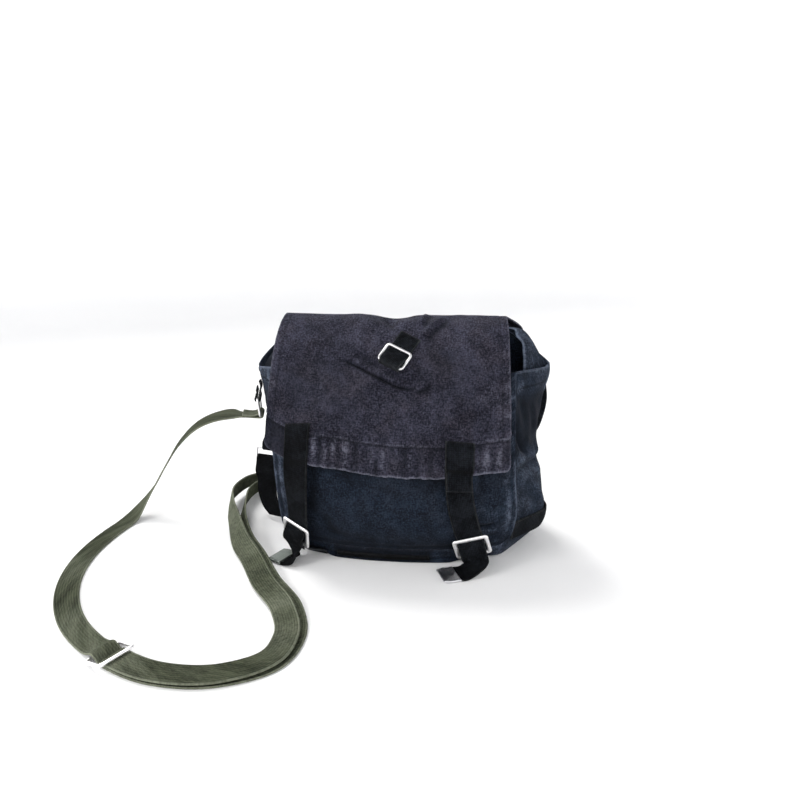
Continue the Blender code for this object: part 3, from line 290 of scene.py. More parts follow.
class Value:
    """Socket of a finish's nodes: sums, differences and products of values add Math nodes."""

    def __init__(self, finish, socket):
        self.finish = finish
        self.socket = socket

    def maths(self, operation, *values):
        return self.finish.node("Math", {"operation": operation}, dict(enumerate(values)))

    def __add__(self, other):
        return self.maths("ADD", self, other)

    def __sub__(self, other):
        return self.maths("SUBTRACT", self, other)

    def __rsub__(self, other):
        return self.maths("SUBTRACT", other, self)

    def __mul__(self, other):
        return self.maths("MULTIPLY", self, other)

    __radd__ = __add__
    __rmul__ = __mul__

    def from_to(self, low, high, new_low=0.0, new_high=1.0):
        """The value eased from one range to another, and held there beyond it."""
        return self.finish.node("MapRange", {"interpolation_type": "SMOOTHSTEP"},
                                {0: self, 1: low, 2: high, 3: new_low, 4: new_high})


class Finish:
    """Material in the making: node() adds any node, and fill() and relief() feed its shader."""

    def __init__(self, name, roughness, metallic=0.0, **fixed):
        self.material = bpy.data.materials.new(name)
        self.material.use_nodes = True
        self.tree = self.material.node_tree
        self.shader = self.tree.nodes["Principled BSDF"]
        for socket, value in {"Roughness": roughness, "Metallic": metallic, **fixed}.items():
            self.shader.inputs[socket.replace("_", " ")].default_value = value

    def node(self, kind, settings, links, output=0):
        """Any node: its settings first, then the values or links of its sockets."""
        made = self.tree.nodes.new("ShaderNode" + kind)
        for key, value in settings.items():
            setattr(made, key, value)
        for key, value in links.items():
            if isinstance(value, Value):
                self.tree.links.new(value.socket, made.inputs[key])
            else:
                made.inputs[key].default_value = value
        return Value(self, made.outputs[output])

    def fill(self, socket, value):
        self.tree.links.new(value.socket, self.shader.inputs[socket])

    def mark(self, name):
        """Named value that the piece carries."""
        return self.node("Attribute", {"attribute_name": name}, {}, output=2)

    def cloth_place(self):
        """Place on the cloth in metres, along and across its threads."""
        return self.node("UVMap", {"uv_map": "cloth"}, {})

    def body_place(self):
        """Place in the object, in metres."""
        return self.node("TexCoord", {}, {}, output=3)

    def scaled(self, place, by):
        return self.node("VectorMath", {"operation": "MULTIPLY"}, {0: place, 1: by})

    def parts(self, place):
        """The three parts of a place."""
        made = self.node("SeparateXYZ", {}, {0: place}).socket.node
        return [Value(self, out) for out in made.outputs]

    def grain(self, place, size, detail=2.0, roughness=0.55, stretch=(1.0, 1.0, 1.0), twist=0.0):
        """Noise between 0 and 1 with lumps of the given size in metres, longer where stretch is over 1."""
        by = tuple(1.0 / (size * s) for s in stretch)
        return self.node("TexNoise", {"noise_dimensions": "3D"},
                         {"Vector": self.scaled(place, by), "Scale": 1.0, "Detail": detail,
                          "Roughness": roughness, "Distortion": twist})

    def blend(self, share, first, second):
        """Mix of two colours."""
        sockets = {0: share, 6: first, 7: second}
        for key in (6, 7):
            if not isinstance(sockets[key], Value):
                sockets[key] = (*sockets[key], 1.0)
        return self.node("Mix", {"data_type": "RGBA"}, sockets, output=2)

    def relief(self, height, distance, strength=1.0):
        """Bump from a height between 0 and 1 that stands for a distance in metres."""
        bumped = self.node("Bump", {}, {"Height": height, "Distance": distance, "Strength": strength})
        self.fill("Normal", bumped)


def linear(red, green, blue):
    """Linear colour from the usual 0 to 255 values."""
    c = np.array([red, green, blue]) / 255.0
    return tuple(np.where(c <= 0.04045, c / 12.92, ((c + 0.055) / 1.055) ** 2.4).tolist())


THREAD_PITCH = 0.00085


def canvas_finish(name, dark, middle, warmer, pale, lint_share):
    """Worn plain-weave canvas: two sets of threads over and under, slubs, flecks, fading at its marks."""
    cloth = Finish(name, 0.95, Sheen_Weight=0.05, Sheen_Roughness=0.5,
                   Sheen_Tint=(*linear(150, 155, 175), 1.0), Specular_IOR_Level=0.07)
    place = cloth.cloth_place()
    u, v, _ = cloth.parts(cloth.scaled(place, (math.pi / THREAD_PITCH, math.pi / THREAD_PITCH, 0.0)))
    warp, weft = u.maths("SINE", u), v.maths("SINE", v)
    over = warp * weft * 0.5 + 0.5
    weave = warp.maths("ABSOLUTE", warp) * over + weft.maths("ABSOLUTE", weft) * (1.0 - over)
    slub_u = cloth.grain(place, 0.0013, stretch=(1.0, 3.0, 1.0))
    slub_v = cloth.grain(place, 0.0013, stretch=(3.0, 1.0, 1.0))
    fleck = cloth.grain(place, 0.0020, roughness=0.6)
    patch = cloth.grain(place, 0.013, 3.0, 0.6, twist=0.6)
    cloud = cloth.grain(place, 0.050, 2.0, 0.5)
    threads = (slub_u + slub_v) * 0.5
    light = (threads.from_to(0.38, 0.64) * 0.40 + fleck.from_to(0.36, 0.66) * 0.34
             + patch.from_to(0.35, 0.70) * 0.22 + cloud.from_to(0.35, 0.65) * 0.22 + weave * 0.08 - 0.16)
    colour = cloth.blend(light.from_to(0.0, 1.0), dark, middle)
    warm = cloth.grain(place, 0.034, 2.0, 0.6).from_to(0.42, 0.66)
    colour = cloth.blend(warm * 0.30, colour, cloth.blend(light.from_to(0.0, 1.0), dark, warmer))
    lint = cloth.grain(place, 0.0018, 1.0, 0.5, (1.0, 1.7, 1.0)).from_to(0.60, 0.74)
    colour = cloth.blend(lint * lint_share, colour, pale)
    fade = cloth.mark("fade")
    rough_wear = fade * 0.85 + (patch - 0.5) * 0.5 + (threads - 0.5) * 0.9
    worn = rough_wear.from_to(0.04, 0.95) * fade.from_to(0.0, 0.30) * threads.from_to(0.30, 0.62, 0.55, 1.0)
    colour = cloth.blend(worn, colour, pale)
    # Darker by the piece's soil mark, which holds dirt and also painted shade in folds, hollows and under the
    # lid.
    soil_and_shade = cloth.mark("soil_and_shade")
    colour = cloth.blend(soil_and_shade.from_to(0.0, 1.0, 0.0, 0.75), colour, (0.003, 0.004, 0.006))
    cloth.fill("Base Color", colour)
    cloth.fill("Roughness", 0.99 - worn * 0.06 - threads * 0.05)
    cloth.relief(weave * 0.45 + threads * 0.9 + fleck * 0.8, 0.00042, 0.8)
    return cloth.material


BODY_CANVAS = canvas_finish("body_canvas", linear(11, 16, 24), linear(33, 42, 55), linear(45, 46, 53),
                            linear(98, 107, 124), 0.09)

# Places of the folds on the front panel in metres, x and height: under the flap from the straps, and
# beside the right strap where the belly turns in
FRONT_FOLDS = (
    (((-0.078, 0.120), (-0.074, 0.085), (-0.080, 0.052)), 0.0060, -0.0016, 0.0012),
    (((-0.098, 0.110), (-0.100, 0.080), (-0.094, 0.040)), 0.0050, 0.0018, 0.0),
    (((0.088, 0.049), (0.096, 0.045), (0.108, 0.047)), 0.0028, -0.0040, 0.0024),
    (((0.086, 0.038), (0.098, 0.032), (0.112, 0.030)), 0.0036, -0.0024, 0.0018),
    (((0.088, 0.115), (0.092, 0.085), (0.098, 0.060)), 0.0055, -0.0022, 0.0016),
    (((-0.050, 0.110), (-0.020, 0.094), (0.020, 0.090)), 0.0090, -0.0010, 0.0008),
    (((-0.060, 0.034), (-0.020, 0.028), (0.030, 0.030)), 0.0050, -0.0012, 0.0010),
    (((0.030, 0.062), (0.048, 0.040), (0.060, 0.026)), 0.0060, -0.0012, 0.0009),
    (((-0.066, 0.060), (-0.058, 0.042), (-0.050, 0.028)), 0.0060, -0.0012, 0.0010),
)


def soft_waves(u, v, big, small, seed):
    """Unevenness of worn cloth: wide swells and smaller ripples, from two seeded lattices each."""
    swell = rumple(u, v, 0.055, seed) + 0.6 * rumple(u * 0.8 + v * 0.6, v * 0.8 - u * 0.6, 0.031, seed + 1)
    ripple = rumple(u, v, 0.013, seed + 2)
    ripple = ripple + 0.6 * rumple(u * 0.6 - v * 0.8, v * 0.6 + u * 0.8, 0.0075, seed + 3)
    return big * swell + small * ripple


def seam_grooves(away, at, width, depth):
    """Groove that a row of stitches pulls into the cloth, at a distance from the edge."""
    return -depth * bump(away, at, width)


def canvas_piece(name, node, grid, out, thick, fade, soil_and_shade, size_of, material=BODY_CANVAS):
    """Piece of canvas that stands for one solid, paler where it is faded and darker where soiled or where
    shade is painted.
    """
    made = cloth_piece(name, grid, out, thick, {"fade": fade, "soil_and_shade": soil_and_shade}, size_of)
    made.data.materials.append(material)
    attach(made, "root")
    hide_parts(node)
    return made


def front_top(u):
    """Height of the front panel's top edge, which is level."""
    return np.full(u.shape, MOUTH_HEIGHT)


front_grid = panel_grid(front_half_width, PANEL_FOOT, PANEL_CORNER, front_top, front_y, across=181, up=141)
front_out = directions(front_grid, (0.0, -1.0, 0.0))
front_x, front_z = front_grid[..., 0], front_grid[..., 2]
front_side_gap = front_half_width(front_z, front_x) - np.abs(front_x)
front_gap = np.minimum(front_side_gap, front_z - PANEL_FOOT * 0.98)
front_rise = folded(soft_waves(front_x, front_z, 0.0013, 0.0003, 11), front_x, front_z, FRONT_FOLDS)
front_pucker = rumple(front_x, front_z, 0.006, 21) * bump(front_gap, 0.006, 0.006)
front_rise = front_rise * ease(front_gap, 0.001, 0.020) * ease(MOUTH_HEIGHT - front_z, 0.0, 0.02)
front_rise = front_rise + 0.0004 * front_pucker + seam_grooves(front_gap, 0.0055, 0.0016, 0.0005)
front_pile = front_grid + front_out * front_rise[..., None]
# Pale wear at the edges, puckers and ridges; above 0.105 m the edge is kept dark under the lid, a painted
# shade.
front_fade_and_shade = ((0.20 + 0.40 * ease(front_z, 0.024, 0.050) - 0.45 * ease(front_z, 0.105, 0.118))
              * bump(front_gap, 0.0, 0.0020)
              + 0.25 * bump(front_gap, 0.0085, 0.004) * ease(front_z, 0.024, 0.050)
              + 0.26 * np.clip(front_pucker, 0.0, 1.0)
              + 0.16 * np.clip(front_rise / 0.0020, 0.0, 1.0) + 0.10 * rumple(front_x, front_z, 0.03, 5)
              + 0.10 * ease(front_x, 0.088, 0.100))
# Darker towards the bottom, along the seam and everywhere left of the strip beside the right strap; darker in
# the fold grooves, which is painted shade.
front_soil_and_shade = (0.55 * ease(0.045 - front_z, 0.0, 0.03) + 0.30 * bump(front_gap, 0.0050, 0.0012)
              + 0.9 * np.clip(-front_rise / 0.0022 - 0.25, 0.0, 1.0)
              + 0.22 * (1 - ease(front_x, 0.085, 0.097)))
front_out = directions(front_pile, (0.0, -1.0, 0.0))
front_panel = canvas_piece("front_canvas", "front_panel", front_pile, front_out, CLOTH,
                           np.clip(front_fade_and_shade, 0, 1.2), np.clip(front_soil_and_shade, 0, 1), front_grid)


# Back panel: the same canvas in one piece, taller than the front because the lid is sewn across it.
# It hangs nearly flat, with its lower corners cut round and its top corners slanting to the gusset.
BACK_WIDTH = 0.300
BACK_CORNER = 0.022
BACK_FOOT = 0.007
BACK_HEIGHT = 0.9582 * RIDGE_HEIGHT
HEM_HEIGHT = 0.974 * MOUTH_HEIGHT
HEM_SINK = 0.009
BACK_SWELL = 0.005
SIDE_SWELL = 0.020
RIDGE_DIP = 0.010
DIP_DEPTH = 0.013

# A row for each height: share of BACK_HEIGHT, half width at the left and right as shares of half of
# BACK_WIDTH, swell of the gusset at the left and right as shares of SIDE_SWELL
BACK_ROWS = np.array([
    (0.00, 0.87, 1.03, 0.10, 1.05),
    (0.12, 0.90, 1.045, 0.12, 1.00),
    (0.27, 0.93, 1.015, 0.10, 0.90),
    (0.44, 0.97, 1.010, 0.12, 0.55),
    (0.65, 1.02, 1.050, 0.22, 0.45),
    (0.82, 1.05, 1.09, 0.28, 0.35),
    (1.00, 0.90, 0.91, 0.10, 0.30),
])


def back_half_width(z, side):
    """Half width of the back panel at a height; side is below zero for the left."""
    return BACK_WIDTH / 2 * by_side(BACK_ROWS, 1, z / BACK_HEIGHT, side)


def back_y(x, z):
    """Depth of the back panel's middle surface, a little swollen to the back."""
    across = np.clip(1 - (np.abs(x) / (BACK_WIDTH / 2)) ** 2, 0.0, 1.0)
    return BACK_SEAM_Y + BACK_SWELL * across * np.sin(math.pi * np.clip(z / BACK_HEIGHT, 0.0, 1.0)) ** 0.7


def back_top(u):
    """Height of the back panel's top edge: its corners slant down, its middle dips under the notch."""
    hem = HEM_HEIGHT - HEM_SINK * (u < 0)
    slant = (BACK_HEIGHT - hem) * 0.95 * np.clip((np.abs(u) - 0.82) / 0.18, 0, 1)
    return BACK_HEIGHT - slant - RIDGE_DIP * np.exp(-(u / 0.14) ** 2)


# Shallow slanting folds of the back panel, at places x and height
BACK_FOLDS = (
    (((-0.090, 0.190), (-0.050, 0.140), (-0.030, 0.090)), 0.0110, -0.0012, 0.0010),
    (((0.100, 0.175), (0.060, 0.120), (0.020, 0.090)), 0.0120, -0.0012, 0.0010),
    (((-0.110, 0.060), (-0.040, 0.044), (0.040, 0.050)), 0.0100, -0.0011, 0.0010),
    (((0.105, 0.100), (0.112, 0.070), (0.108, 0.035)), 0.0080, -0.0010, 0.0008),
)

back_grid = panel_grid(back_half_width, BACK_FOOT, BACK_CORNER, back_top, back_y, across=171, up=131)
back_x, back_z = back_grid[..., 0], back_grid[..., 2]
back_gap = np.minimum(back_half_width(back_z, back_x) - np.abs(back_x), back_z - BACK_FOOT)
back_rise = folded(soft_waves(back_x, back_z, 0.0008, 0.00025, 31), back_x, back_z, BACK_FOLDS)
back_calm = 1 - ease(back_z, 0.12, 0.15) * ease(back_x, 0.07, 0.09)
back_rise = back_rise * ease(back_gap, 0.001, 0.020) * ease(BACK_HEIGHT - back_z, 0.042, 0.060)
back_rise = np.minimum(back_rise, 0.0) + np.maximum(back_rise, 0.0) * 0.3 * back_calm
back_pucker = rumple(back_x, back_z, 0.006, 41) * bump(back_gap, 0.006, 0.006)
back_rise = back_rise + seam_grooves(back_gap, 0.0055, 0.0016, 0.0005) + 0.0002 * back_pucker
back_pile = back_grid + directions(back_grid, (0.0, 1.0, 0.0)) * back_rise[..., None]
back_fade_and_shade = (1.0 * bump(back_gap, 0.0, 0.0022) + 0.35 * bump(back_gap, 0.0085, 0.004)
             + 0.45 * np.clip(back_pucker, 0, 1) + 0.10 * rumple(back_x, back_z, 0.03, 42))
# The top left corner, but not its rim at the mouth, is painted dark and less worn: painted shade of the
# hollow behind the sunk left ear.
back_corner = ease(-back_x, 0.112, 0.122) * ease(back_z, 0.170, 0.182)
back_corner = back_corner * ease(BACK_HEIGHT - back_z, -0.02, 0.004)
back_mouth_gap = np.linalg.norm(back_grid - back_grid[-1:], axis=-1)
back_soil_and_shade = 0.5 * ease(0.035 - back_z, 0.0, 0.03) + 0.95 * back_corner * ease(back_mouth_gap, 0.0015, 0.005)
back_fade_and_shade = np.clip(back_fade_and_shade * (1 - 0.5 * back_corner), 0, 1.2)
back_out = directions(back_pile, (0.0, 1.0, 0.0))
back_panel = canvas_piece("back_canvas", "back_panel", back_pile, back_out, CLOTH,
                          back_fade_and_shade, np.clip(back_soil_and_shade, 0, 1), back_grid)


# Gusset: one long strip of canvas sewn between the two panels, down the left side, along the bottom
# and up the right side. Its ends are turned in at the mouth and stitched as a hem.
WAIST_FOLD = 0.004
WAIST_SHARE = 0.42
BASE_BAG = 0.010
BASE_BAG_FROM = 0.045
BASE_BAG_FULL = 0.12
BASE_BAG_X = (-0.078, 0.086)
BASE_BAG_EASE = 0.026
FINE_ROWS = 7
FINE_COLUMNS = 6
SIDE_PARTS = 10
CORNER_PARTS = 4
FLOOR_PARTS = 14
GUSSET_COLUMNS = 10
HEM_STITCH_Z = 0.1735


def rim(half_width, foot, corner, top_left, top_right, inset):
    """Outline of a panel from its left top corner, round the foot, to its right top corner.

    Straight stretches are even steps and the corners are quarter circles. Returns x, z and the way
    out of the panel.
    """
    low = foot + corner
    left_z = np.linspace(top_left, low, SIDE_PARTS * FINE_ROWS + 1)
    right_z = np.linspace(low, top_right, SIDE_PARTS * FINE_ROWS + 1)
    angle = np.linspace(0.0, math.pi / 2, CORNER_PARTS * FINE_ROWS + 1)[1:]
    left_w, right_w = half_width(low, -1), half_width(low, 1)
    reach = corner - inset
    floor_x = np.linspace(-(left_w - corner), right_w - corner, FLOOR_PARTS * FINE_ROWS + 1)[1:-1]
    turn_x, turn_z = reach * np.cos(angle), low - reach * np.sin(angle)
    x = np.concatenate([-(half_width(left_z, -1) - inset), -(left_w - corner + turn_x), floor_x,
                        right_w - corner + turn_x[::-1], half_width(right_z, 1) - inset])
    z = np.concatenate([left_z, turn_z, np.full(len(floor_x), foot + inset), turn_z[::-1], right_z])
    ones, flat = np.ones(len(left_z)), np.zeros(len(left_z))
    out = np.concatenate([np.c_[-ones, flat], np.c_[-np.cos(angle), -np.sin(angle)],
                          np.tile((0.0, -1.0), (len(floor_x), 1)),
                          np.c_[np.cos(angle[::-1]), -np.sin(angle[::-1])], np.c_[ones, flat]])
    return x, z, out


def gusset_strip(front, back, out, t):
    """Strip between two rims: straight across, swollen outwards by its rows, flat where it rests.

    Under the front seam it bags forward between the places BASE_BAG_X: eased in from the share
    BASE_BAG_FROM across it to BASE_BAG_FULL, then fading as e to the minus square of the share.
    """
    grid = front[:, None, :] * (1 - t[None, :, None]) + back[:, None, :] * t[None, :, None]
    down = -out[:, 1][:, None]
    share = grid[..., 2] / BACK_HEIGHT
    swell = by_side(BACK_ROWS, 3, share, out[:, :1]) * SIDE_SWELL
    waist = (share - WAIST_SHARE) / 0.06
    crease = np.where(out[:, :1] < 0, 0.0, WAIST_FOLD) * np.sin(waist * 2.7) * np.exp(-waist**2)
    swell = swell * np.sin(math.pi * t**1.6) + crease * np.sin(math.pi * t) ** 2
    drop = (PANEL_FOOT + SEAM_LIP) * 1.1 * (1 - np.abs(2 * t - 1) ** 3) ** (1 / 3)
    grid[..., 0] += np.sign(out[:, 0])[:, None] * swell * (1 - down**2)
    grid[..., 2] = np.maximum(grid[..., 2] - drop * down, CLOTH / 2)
    inside = np.minimum(grid[..., 0] - BASE_BAG_X[0], BASE_BAG_X[1] - grid[..., 0])
    fading = np.exp(-(np.maximum(t - BASE_BAG_FULL, 0) / 0.16) ** 2)
    onset = ease(t, BASE_BAG_FROM, BASE_BAG_FULL)
    grid[..., 1] -= BASE_BAG * ease(inside, 0.0, BASE_BAG_EASE) * down * onset * fading
    return grid


def seated(points, tangent, normal):
    """Edge of a sheet moved off the face that it is sewn to: half walls, a gap, and its slope."""
    slope = np.sqrt(np.clip(1 - np.sum(unit(tangent) * normal, axis=-1) ** 2, 0.0, 1.0))
    return points + normal * (CLOTH / 2 + GAP + SEAM_EASE + CLOTH / 2 * slope)[:, None]


def panel_normal(depth, x, z, toward):
    """Normal of a panel's surface y = depth(x, z), turned to the front (-1) or to the back (1)."""
    step = 0.0005
    dx = (depth(x + step, z) - depth(x - step, z)) / (2 * step)
    dz = (depth(x, z + step) - depth(x, z - step)) / (2 * step)
    return unit(np.stack([-dx, np.ones_like(dx), -dz], axis=-1)) * toward


mouth = MOUTH_HEIGHT - GAP
fx, fz, rim_out = rim(front_half_width, PANEL_FOOT, PANEL_CORNER, mouth, mouth, SEAM_LIP)
bx, bz, _ = rim(back_half_width, BACK_FOOT, BACK_CORNER, HEM_HEIGHT - HEM_SINK, HEM_HEIGHT, SEAM_LIP)
front_rim = np.stack([fx, front_y(fx, fz), fz], axis=1)
back_rim = np.stack([bx, back_y(bx, bz), bz], axis=1)
across_t = np.linspace(0, 1, GUSSET_COLUMNS * FINE_COLUMNS + 1)
across_t = (1 - np.cos(across_t * math.pi)) / 4 + across_t / 2
gusset_base = gusset_strip(front_rim, back_rim, rim_out, across_t)
front_way = gusset_base[:, FINE_COLUMNS] - gusset_base[:, 0]
back_way = gusset_base[:, -1] - gusset_base[:, -1 - FINE_COLUMNS]
front_rim = seated(front_rim, front_way, panel_normal(front_y, fx, fz, 1))
back_rim = seated(back_rim, back_way, panel_normal(back_y, bx, bz, -1))
gusset_base = gusset_strip(front_rim, back_rim, rim_out, across_t)


def outward(grid):
    """Directions out of a grid that goes round the bag's middle."""
    normal = normals_of(grid)
    away = grid - np.array([0.0, 0.0, BACK_HEIGHT / 3])
    return normal * np.sign(np.sum(normal * away, axis=-1, keepdims=True))


# Folds of the right side, then of the left side, at places y and height
RIGHT_FOLDS = (
    (((-0.030, 0.150), (-0.027, 0.134), (-0.022, 0.118), (-0.010, 0.106)), 0.0048, -0.0060, 0.0032),
    (((-0.012, 0.124), (-0.004, 0.112), (0.004, 0.106)), 0.0060, 0.0026, 0.0),
    (((0.000, 0.160), (0.004, 0.142), (0.006, 0.126)), 0.0050, -0.0020, 0.0014),
    (((-0.012, 0.168), (-0.012, 0.150), (-0.008, 0.132)), 0.0050, -0.0016, 0.0012),
    (((0.016, 0.165), (0.022, 0.140), (0.030, 0.120)), 0.0070, -0.0014, 0.0012),
    (((-0.030, 0.096), (-0.008, 0.094), (0.022, 0.088)), 0.0045, -0.0022, 0.0014),
    (((-0.028, 0.074), (-0.010, 0.062), (0.000, 0.046)), 0.0060, -0.0016, 0.0012),
    (((0.010, 0.076), (0.018, 0.058), (0.020, 0.042)), 0.0070, -0.0014, 0.0012),
)
LEFT_FOLDS = (
    (((0.020, 0.168), (0.014, 0.140), (0.004, 0.112)), 0.0070, -0.0030, 0.0016),
    (((-0.030, 0.150), (-0.028, 0.120), (-0.020, 0.094)), 0.0060, -0.0020, 0.0012),
    (((-0.036, 0.092), (-0.014, 0.088), (0.020, 0.096)), 0.0055, -0.0026, 0.0016),
    (((-0.030, 0.074), (-0.020, 0.052), (-0.004, 0.036)), 0.0060, -0.0018, 0.0012),
)

gusset_u, gusset_v = lengths_on(gusset_base)
gusset_y, gusset_z = gusset_base[..., 1], gusset_base[..., 2]
at_right = gusset_base[..., 0] > 0
gusset_gap_front = np.linalg.norm(gusset_base - gusset_base[:, :1], axis=-1)
gusset_gap_back = np.linalg.norm(gusset_base - gusset_base[:, -1:], axis=-1)
gusset_gap = np.minimum(gusset_gap_front, gusset_gap_back)
gusset_top = np.minimum(np.linalg.norm(gusset_base - gusset_base[:1], axis=-1),
                        np.linalg.norm(gusset_base - gusset_base[-1:], axis=-1))
side_rise = soft_waves(gusset_u, gusset_v, 0.0011, 0.00035, 51)
for chosen, folds in ((at_right, RIGHT_FOLDS), (~at_right, LEFT_FOLDS)):
    side_rise = np.where(chosen, folded(side_rise, gusset_y, gusset_z, folds), side_rise)
hem_calm = 1 - 0.7 * ease(gusset_z, HEM_STITCH_Z - 0.006, HEM_STITCH_Z)
gusset_calm = ease(gusset_gap, 0.0, 0.014) * ease(gusset_z, 0.012, 0.035) * hem_calm
side_rise = side_rise * gusset_calm
gusset_pucker = rumple(gusset_u, gusset_v, 0.0055, 61) * bump(gusset_gap, 0.005, 0.006)
hem_pucker = rumple(gusset_u, gusset_v * 0.25, 0.0065, 62) * bump(gusset_z, HEM_STITCH_Z + 0.004, 0.008)
side_rise = side_rise + (0.00035 * gusset_pucker + 0.0005 * hem_pucker) * ease(gusset_z, 0.010, 0.03)
side_rise = side_rise + seam_grooves(gusset_z, HEM_STITCH_Z, 0.0013, 0.0006)
side_rise = side_rise + seam_grooves(gusset_gap, 0.0045, 0.0014, 0.0005) * ease(gusset_z, 0.01, 0.03)
gusset_pile = gusset_base + outward(gusset_base) * side_rise[..., None]
gusset_thick = CLOTH * (0.95 + 0.75 * ease(gusset_z, HEM_STITCH_Z + 0.0005, HEM_STITCH_Z + 0.002))
# Pale wear on the front edge, more at the right; above 0.105 m it is held back under the lid, a painted
# shade.
front_edge_wear_and_shade = 0.22 + 0.22 * at_right - 0.20 * ease(gusset_z, 0.105, 0.118)
gusset_fade_and_shade = (front_edge_wear_and_shade * bump(gusset_gap_front, 0.0, 0.0018)
               + 0.62 * bump(gusset_top, 0.0, 0.0018)
               + 0.16 * ease(gusset_z, HEM_STITCH_Z, HEM_STITCH_Z + 0.001)
               + 0.28 * at_right * (1 - ease(gusset_z, 0.010, 0.024)) * ease(gusset_base[..., 0], 0.09, 0.11)
               + 0.14 * at_right * bump(gusset_z, 0.075, 0.028)
               + 0.25 * bump(gusset_z, HEM_STITCH_Z - 0.0022, 0.0016) + 0.28 * np.clip(hem_pucker, 0, 1)
               + 0.20 * np.clip(gusset_pucker, 0, 1) + 0.22 * np.clip(side_rise / 0.0022, 0, 1)
               + 0.12 * rumple(gusset_u, gusset_v, 0.028, 63))
# Darker at the hem's stitches and at the bottom front under the base band; painted shade in the fold grooves
# and from 0.10 to 0.16 m up, under the lid.
gusset_soil_and_shade = (0.45 * bump(gusset_z, HEM_STITCH_Z, 0.0011) + 0.8 * np.clip(-side_rise / 0.0030, 0, 1)
               + 0.80 * ease(gusset_z, 0.098, 0.120) * (1 - ease(gusset_z, 0.155, 0.170))
               + 0.95 * ease(0.052 - np.abs(gusset_base[..., 0] + 0.006), 0.0, 0.004)
               * (1 - ease(gusset_gap_front, 0.030, 0.040)) * (1 - ease(gusset_z, 0.015, 0.022)))
gusset = canvas_piece("gusset_canvas", "gusset", gusset_pile, outward(gusset_pile), gusset_thick,
                      np.clip(gusset_fade_and_shade, 0, 1.2), np.clip(gusset_soil_and_shade, 0, 1), gusset_base)


# Ears: the loose canvas at the mouth's back corners, folded up inside the gusset's hem and bent over
# as a little roof under the lid. Nothing fastens them, and the left one has sunk.
EAR_HEIGHT = 0.041
EAR_LEFT_SHARE = 0.62
EAR_DEPTH = 0.031
EAR_INSET = 0.010
EAR_LEAN = 0.006
EAR_ROOF = 0.022
EAR_TUCK = 0.008
EAR_UP = 65
EAR_ALONG = 57

# A row for each place from the back corner to the front edge: height as a share of EAR_HEIGHT, roof
# as a share of EAR_ROOF
EAR_ROWS = np.array([
    (0.00, 0.12, 0.30),
    (0.25, 0.55, 0.60),
    (0.50, 0.85, 0.85),
    (0.75, 0.97, 0.95),
    (1.00, 1.00, 1.00),
])


def ear_grid(side, size):
    """Ear: straight up from inside the hem with a slight lean, then bent in as a roof.

    Its sections from the foot to the roof's edge are joined by a smooth curve, which rounds the bend.
    """
    inside = CLOTH + GAP * 4
    y_back = BACK_SEAM_Y - CLOTH - GAP * 4
    back_x = back_half_width(HEM_HEIGHT, side) - SEAM_LIP
    front_x = front_half_width(MOUTH_HEIGHT, side) - SEAM_LIP
    along = np.linspace(0.0, 1.0, EAR_ALONG)
    y = y_back - EAR_DEPTH * along
    share = (y - FRONT_SEAM_Y) / DEPTH
    x = front_x + (back_x - front_x) * share - inside - EAR_INSET * along
    hem = HEM_HEIGHT - HEM_SINK * share * (side < 0)
    foot = hem - EAR_TUCK
    top = hem + EAR_HEIGHT * size * curve(EAR_ROWS, 1, along)
    roof = EAR_ROOF * curve(EAR_ROWS, 2, along)
    up = np.linspace(0.0, 1.0, 5)[:, None]
    lean = EAR_LEAN * curve(EAR_ROWS, 1, along) * up**2
    leaf = np.stack([x - lean, y + 0 * up, foot + (top - foot) * up], -1)
    over = np.linspace(0.0, 1.0, 5)[1:, None]
    arch = 0.12 * np.sin(math.pi * over) - 0.10 * (1 - over) ** 2
    cover = np.stack([leaf[-1, :, 0] - roof * over, y + 0 * over, top + roof * arch], -1)
    leaf[-1] -= np.stack([0.16 * roof, 0 * y, 0.27 * roof], -1)
    sections = np.concatenate([leaf, cover])
    sections[..., 0] *= side
    knots, fine = np.linspace(0.0, 1.0, len(sections)), np.linspace(0.0, 1.0, EAR_UP)
    smooth = smooth_columns(knots, sections.reshape(len(sections), -1), fine)
    return smooth.reshape(EAR_UP, EAR_ALONG, 3)


for ear_name, ear_side, ear_size, ear_seed in (
        ("ear_left", -1, EAR_LEFT_SHARE, 71), ("ear_right", 1, 1.0, 75)):
    ear_base = ear_grid(ear_side, ear_size)
    ear_u, ear_v = lengths_on(ear_base)
    ear_edge = np.linalg.norm(ear_base - ear_base[:, -1:], axis=-1)
    ear_top = np.linalg.norm(ear_base - ear_base[-1:], axis=-1)
    ear_rise = soft_waves(ear_u, ear_v, 0.0009, 0.0003, ear_seed) * ease(ear_base[..., 2], HEM_HEIGHT, 0.197)
    ear_pile = ear_base + directions(ear_base, (ear_side, 0.0, 0.6)) * ear_rise[..., None]
    bend = bump(np.arange(EAR_UP)[:, None], EAR_UP // 2 + 1, 5.0)
    ear_low = 1 - ease(ear_base[..., 2], 0.186, 0.196)
    ear_fade = 0.55 * bump(ear_edge, 0.0, 0.0024) + 0.4 * bump(ear_top, 0.0, 0.002) + 0.25 * bend
    ear_fade = ear_fade + 0.24 * (ear_side > 0)
    # The left ear is painted dark inside its outline, a painted shade of its sunk hollow; the right ear is
    # darker low down.
    hollow = ease(ear_edge, 0.002, 0.006) * (1 - bend)
    ear_soil_and_shade = 0.3 * bump(ear_edge, 0.0055, 0.0015) + (0.95 * hollow if ear_side < 0 else 0.25 * ear_low)
    ear_out = directions(ear_pile, (ear_side, 0.0, 0.6))
    ear = canvas_piece(ear_name + "_canvas", ear_name, ear_pile, ear_out, CLOTH,
                       np.clip(ear_fade, 0, 1.2), ear_soil_and_shade, ear_base)


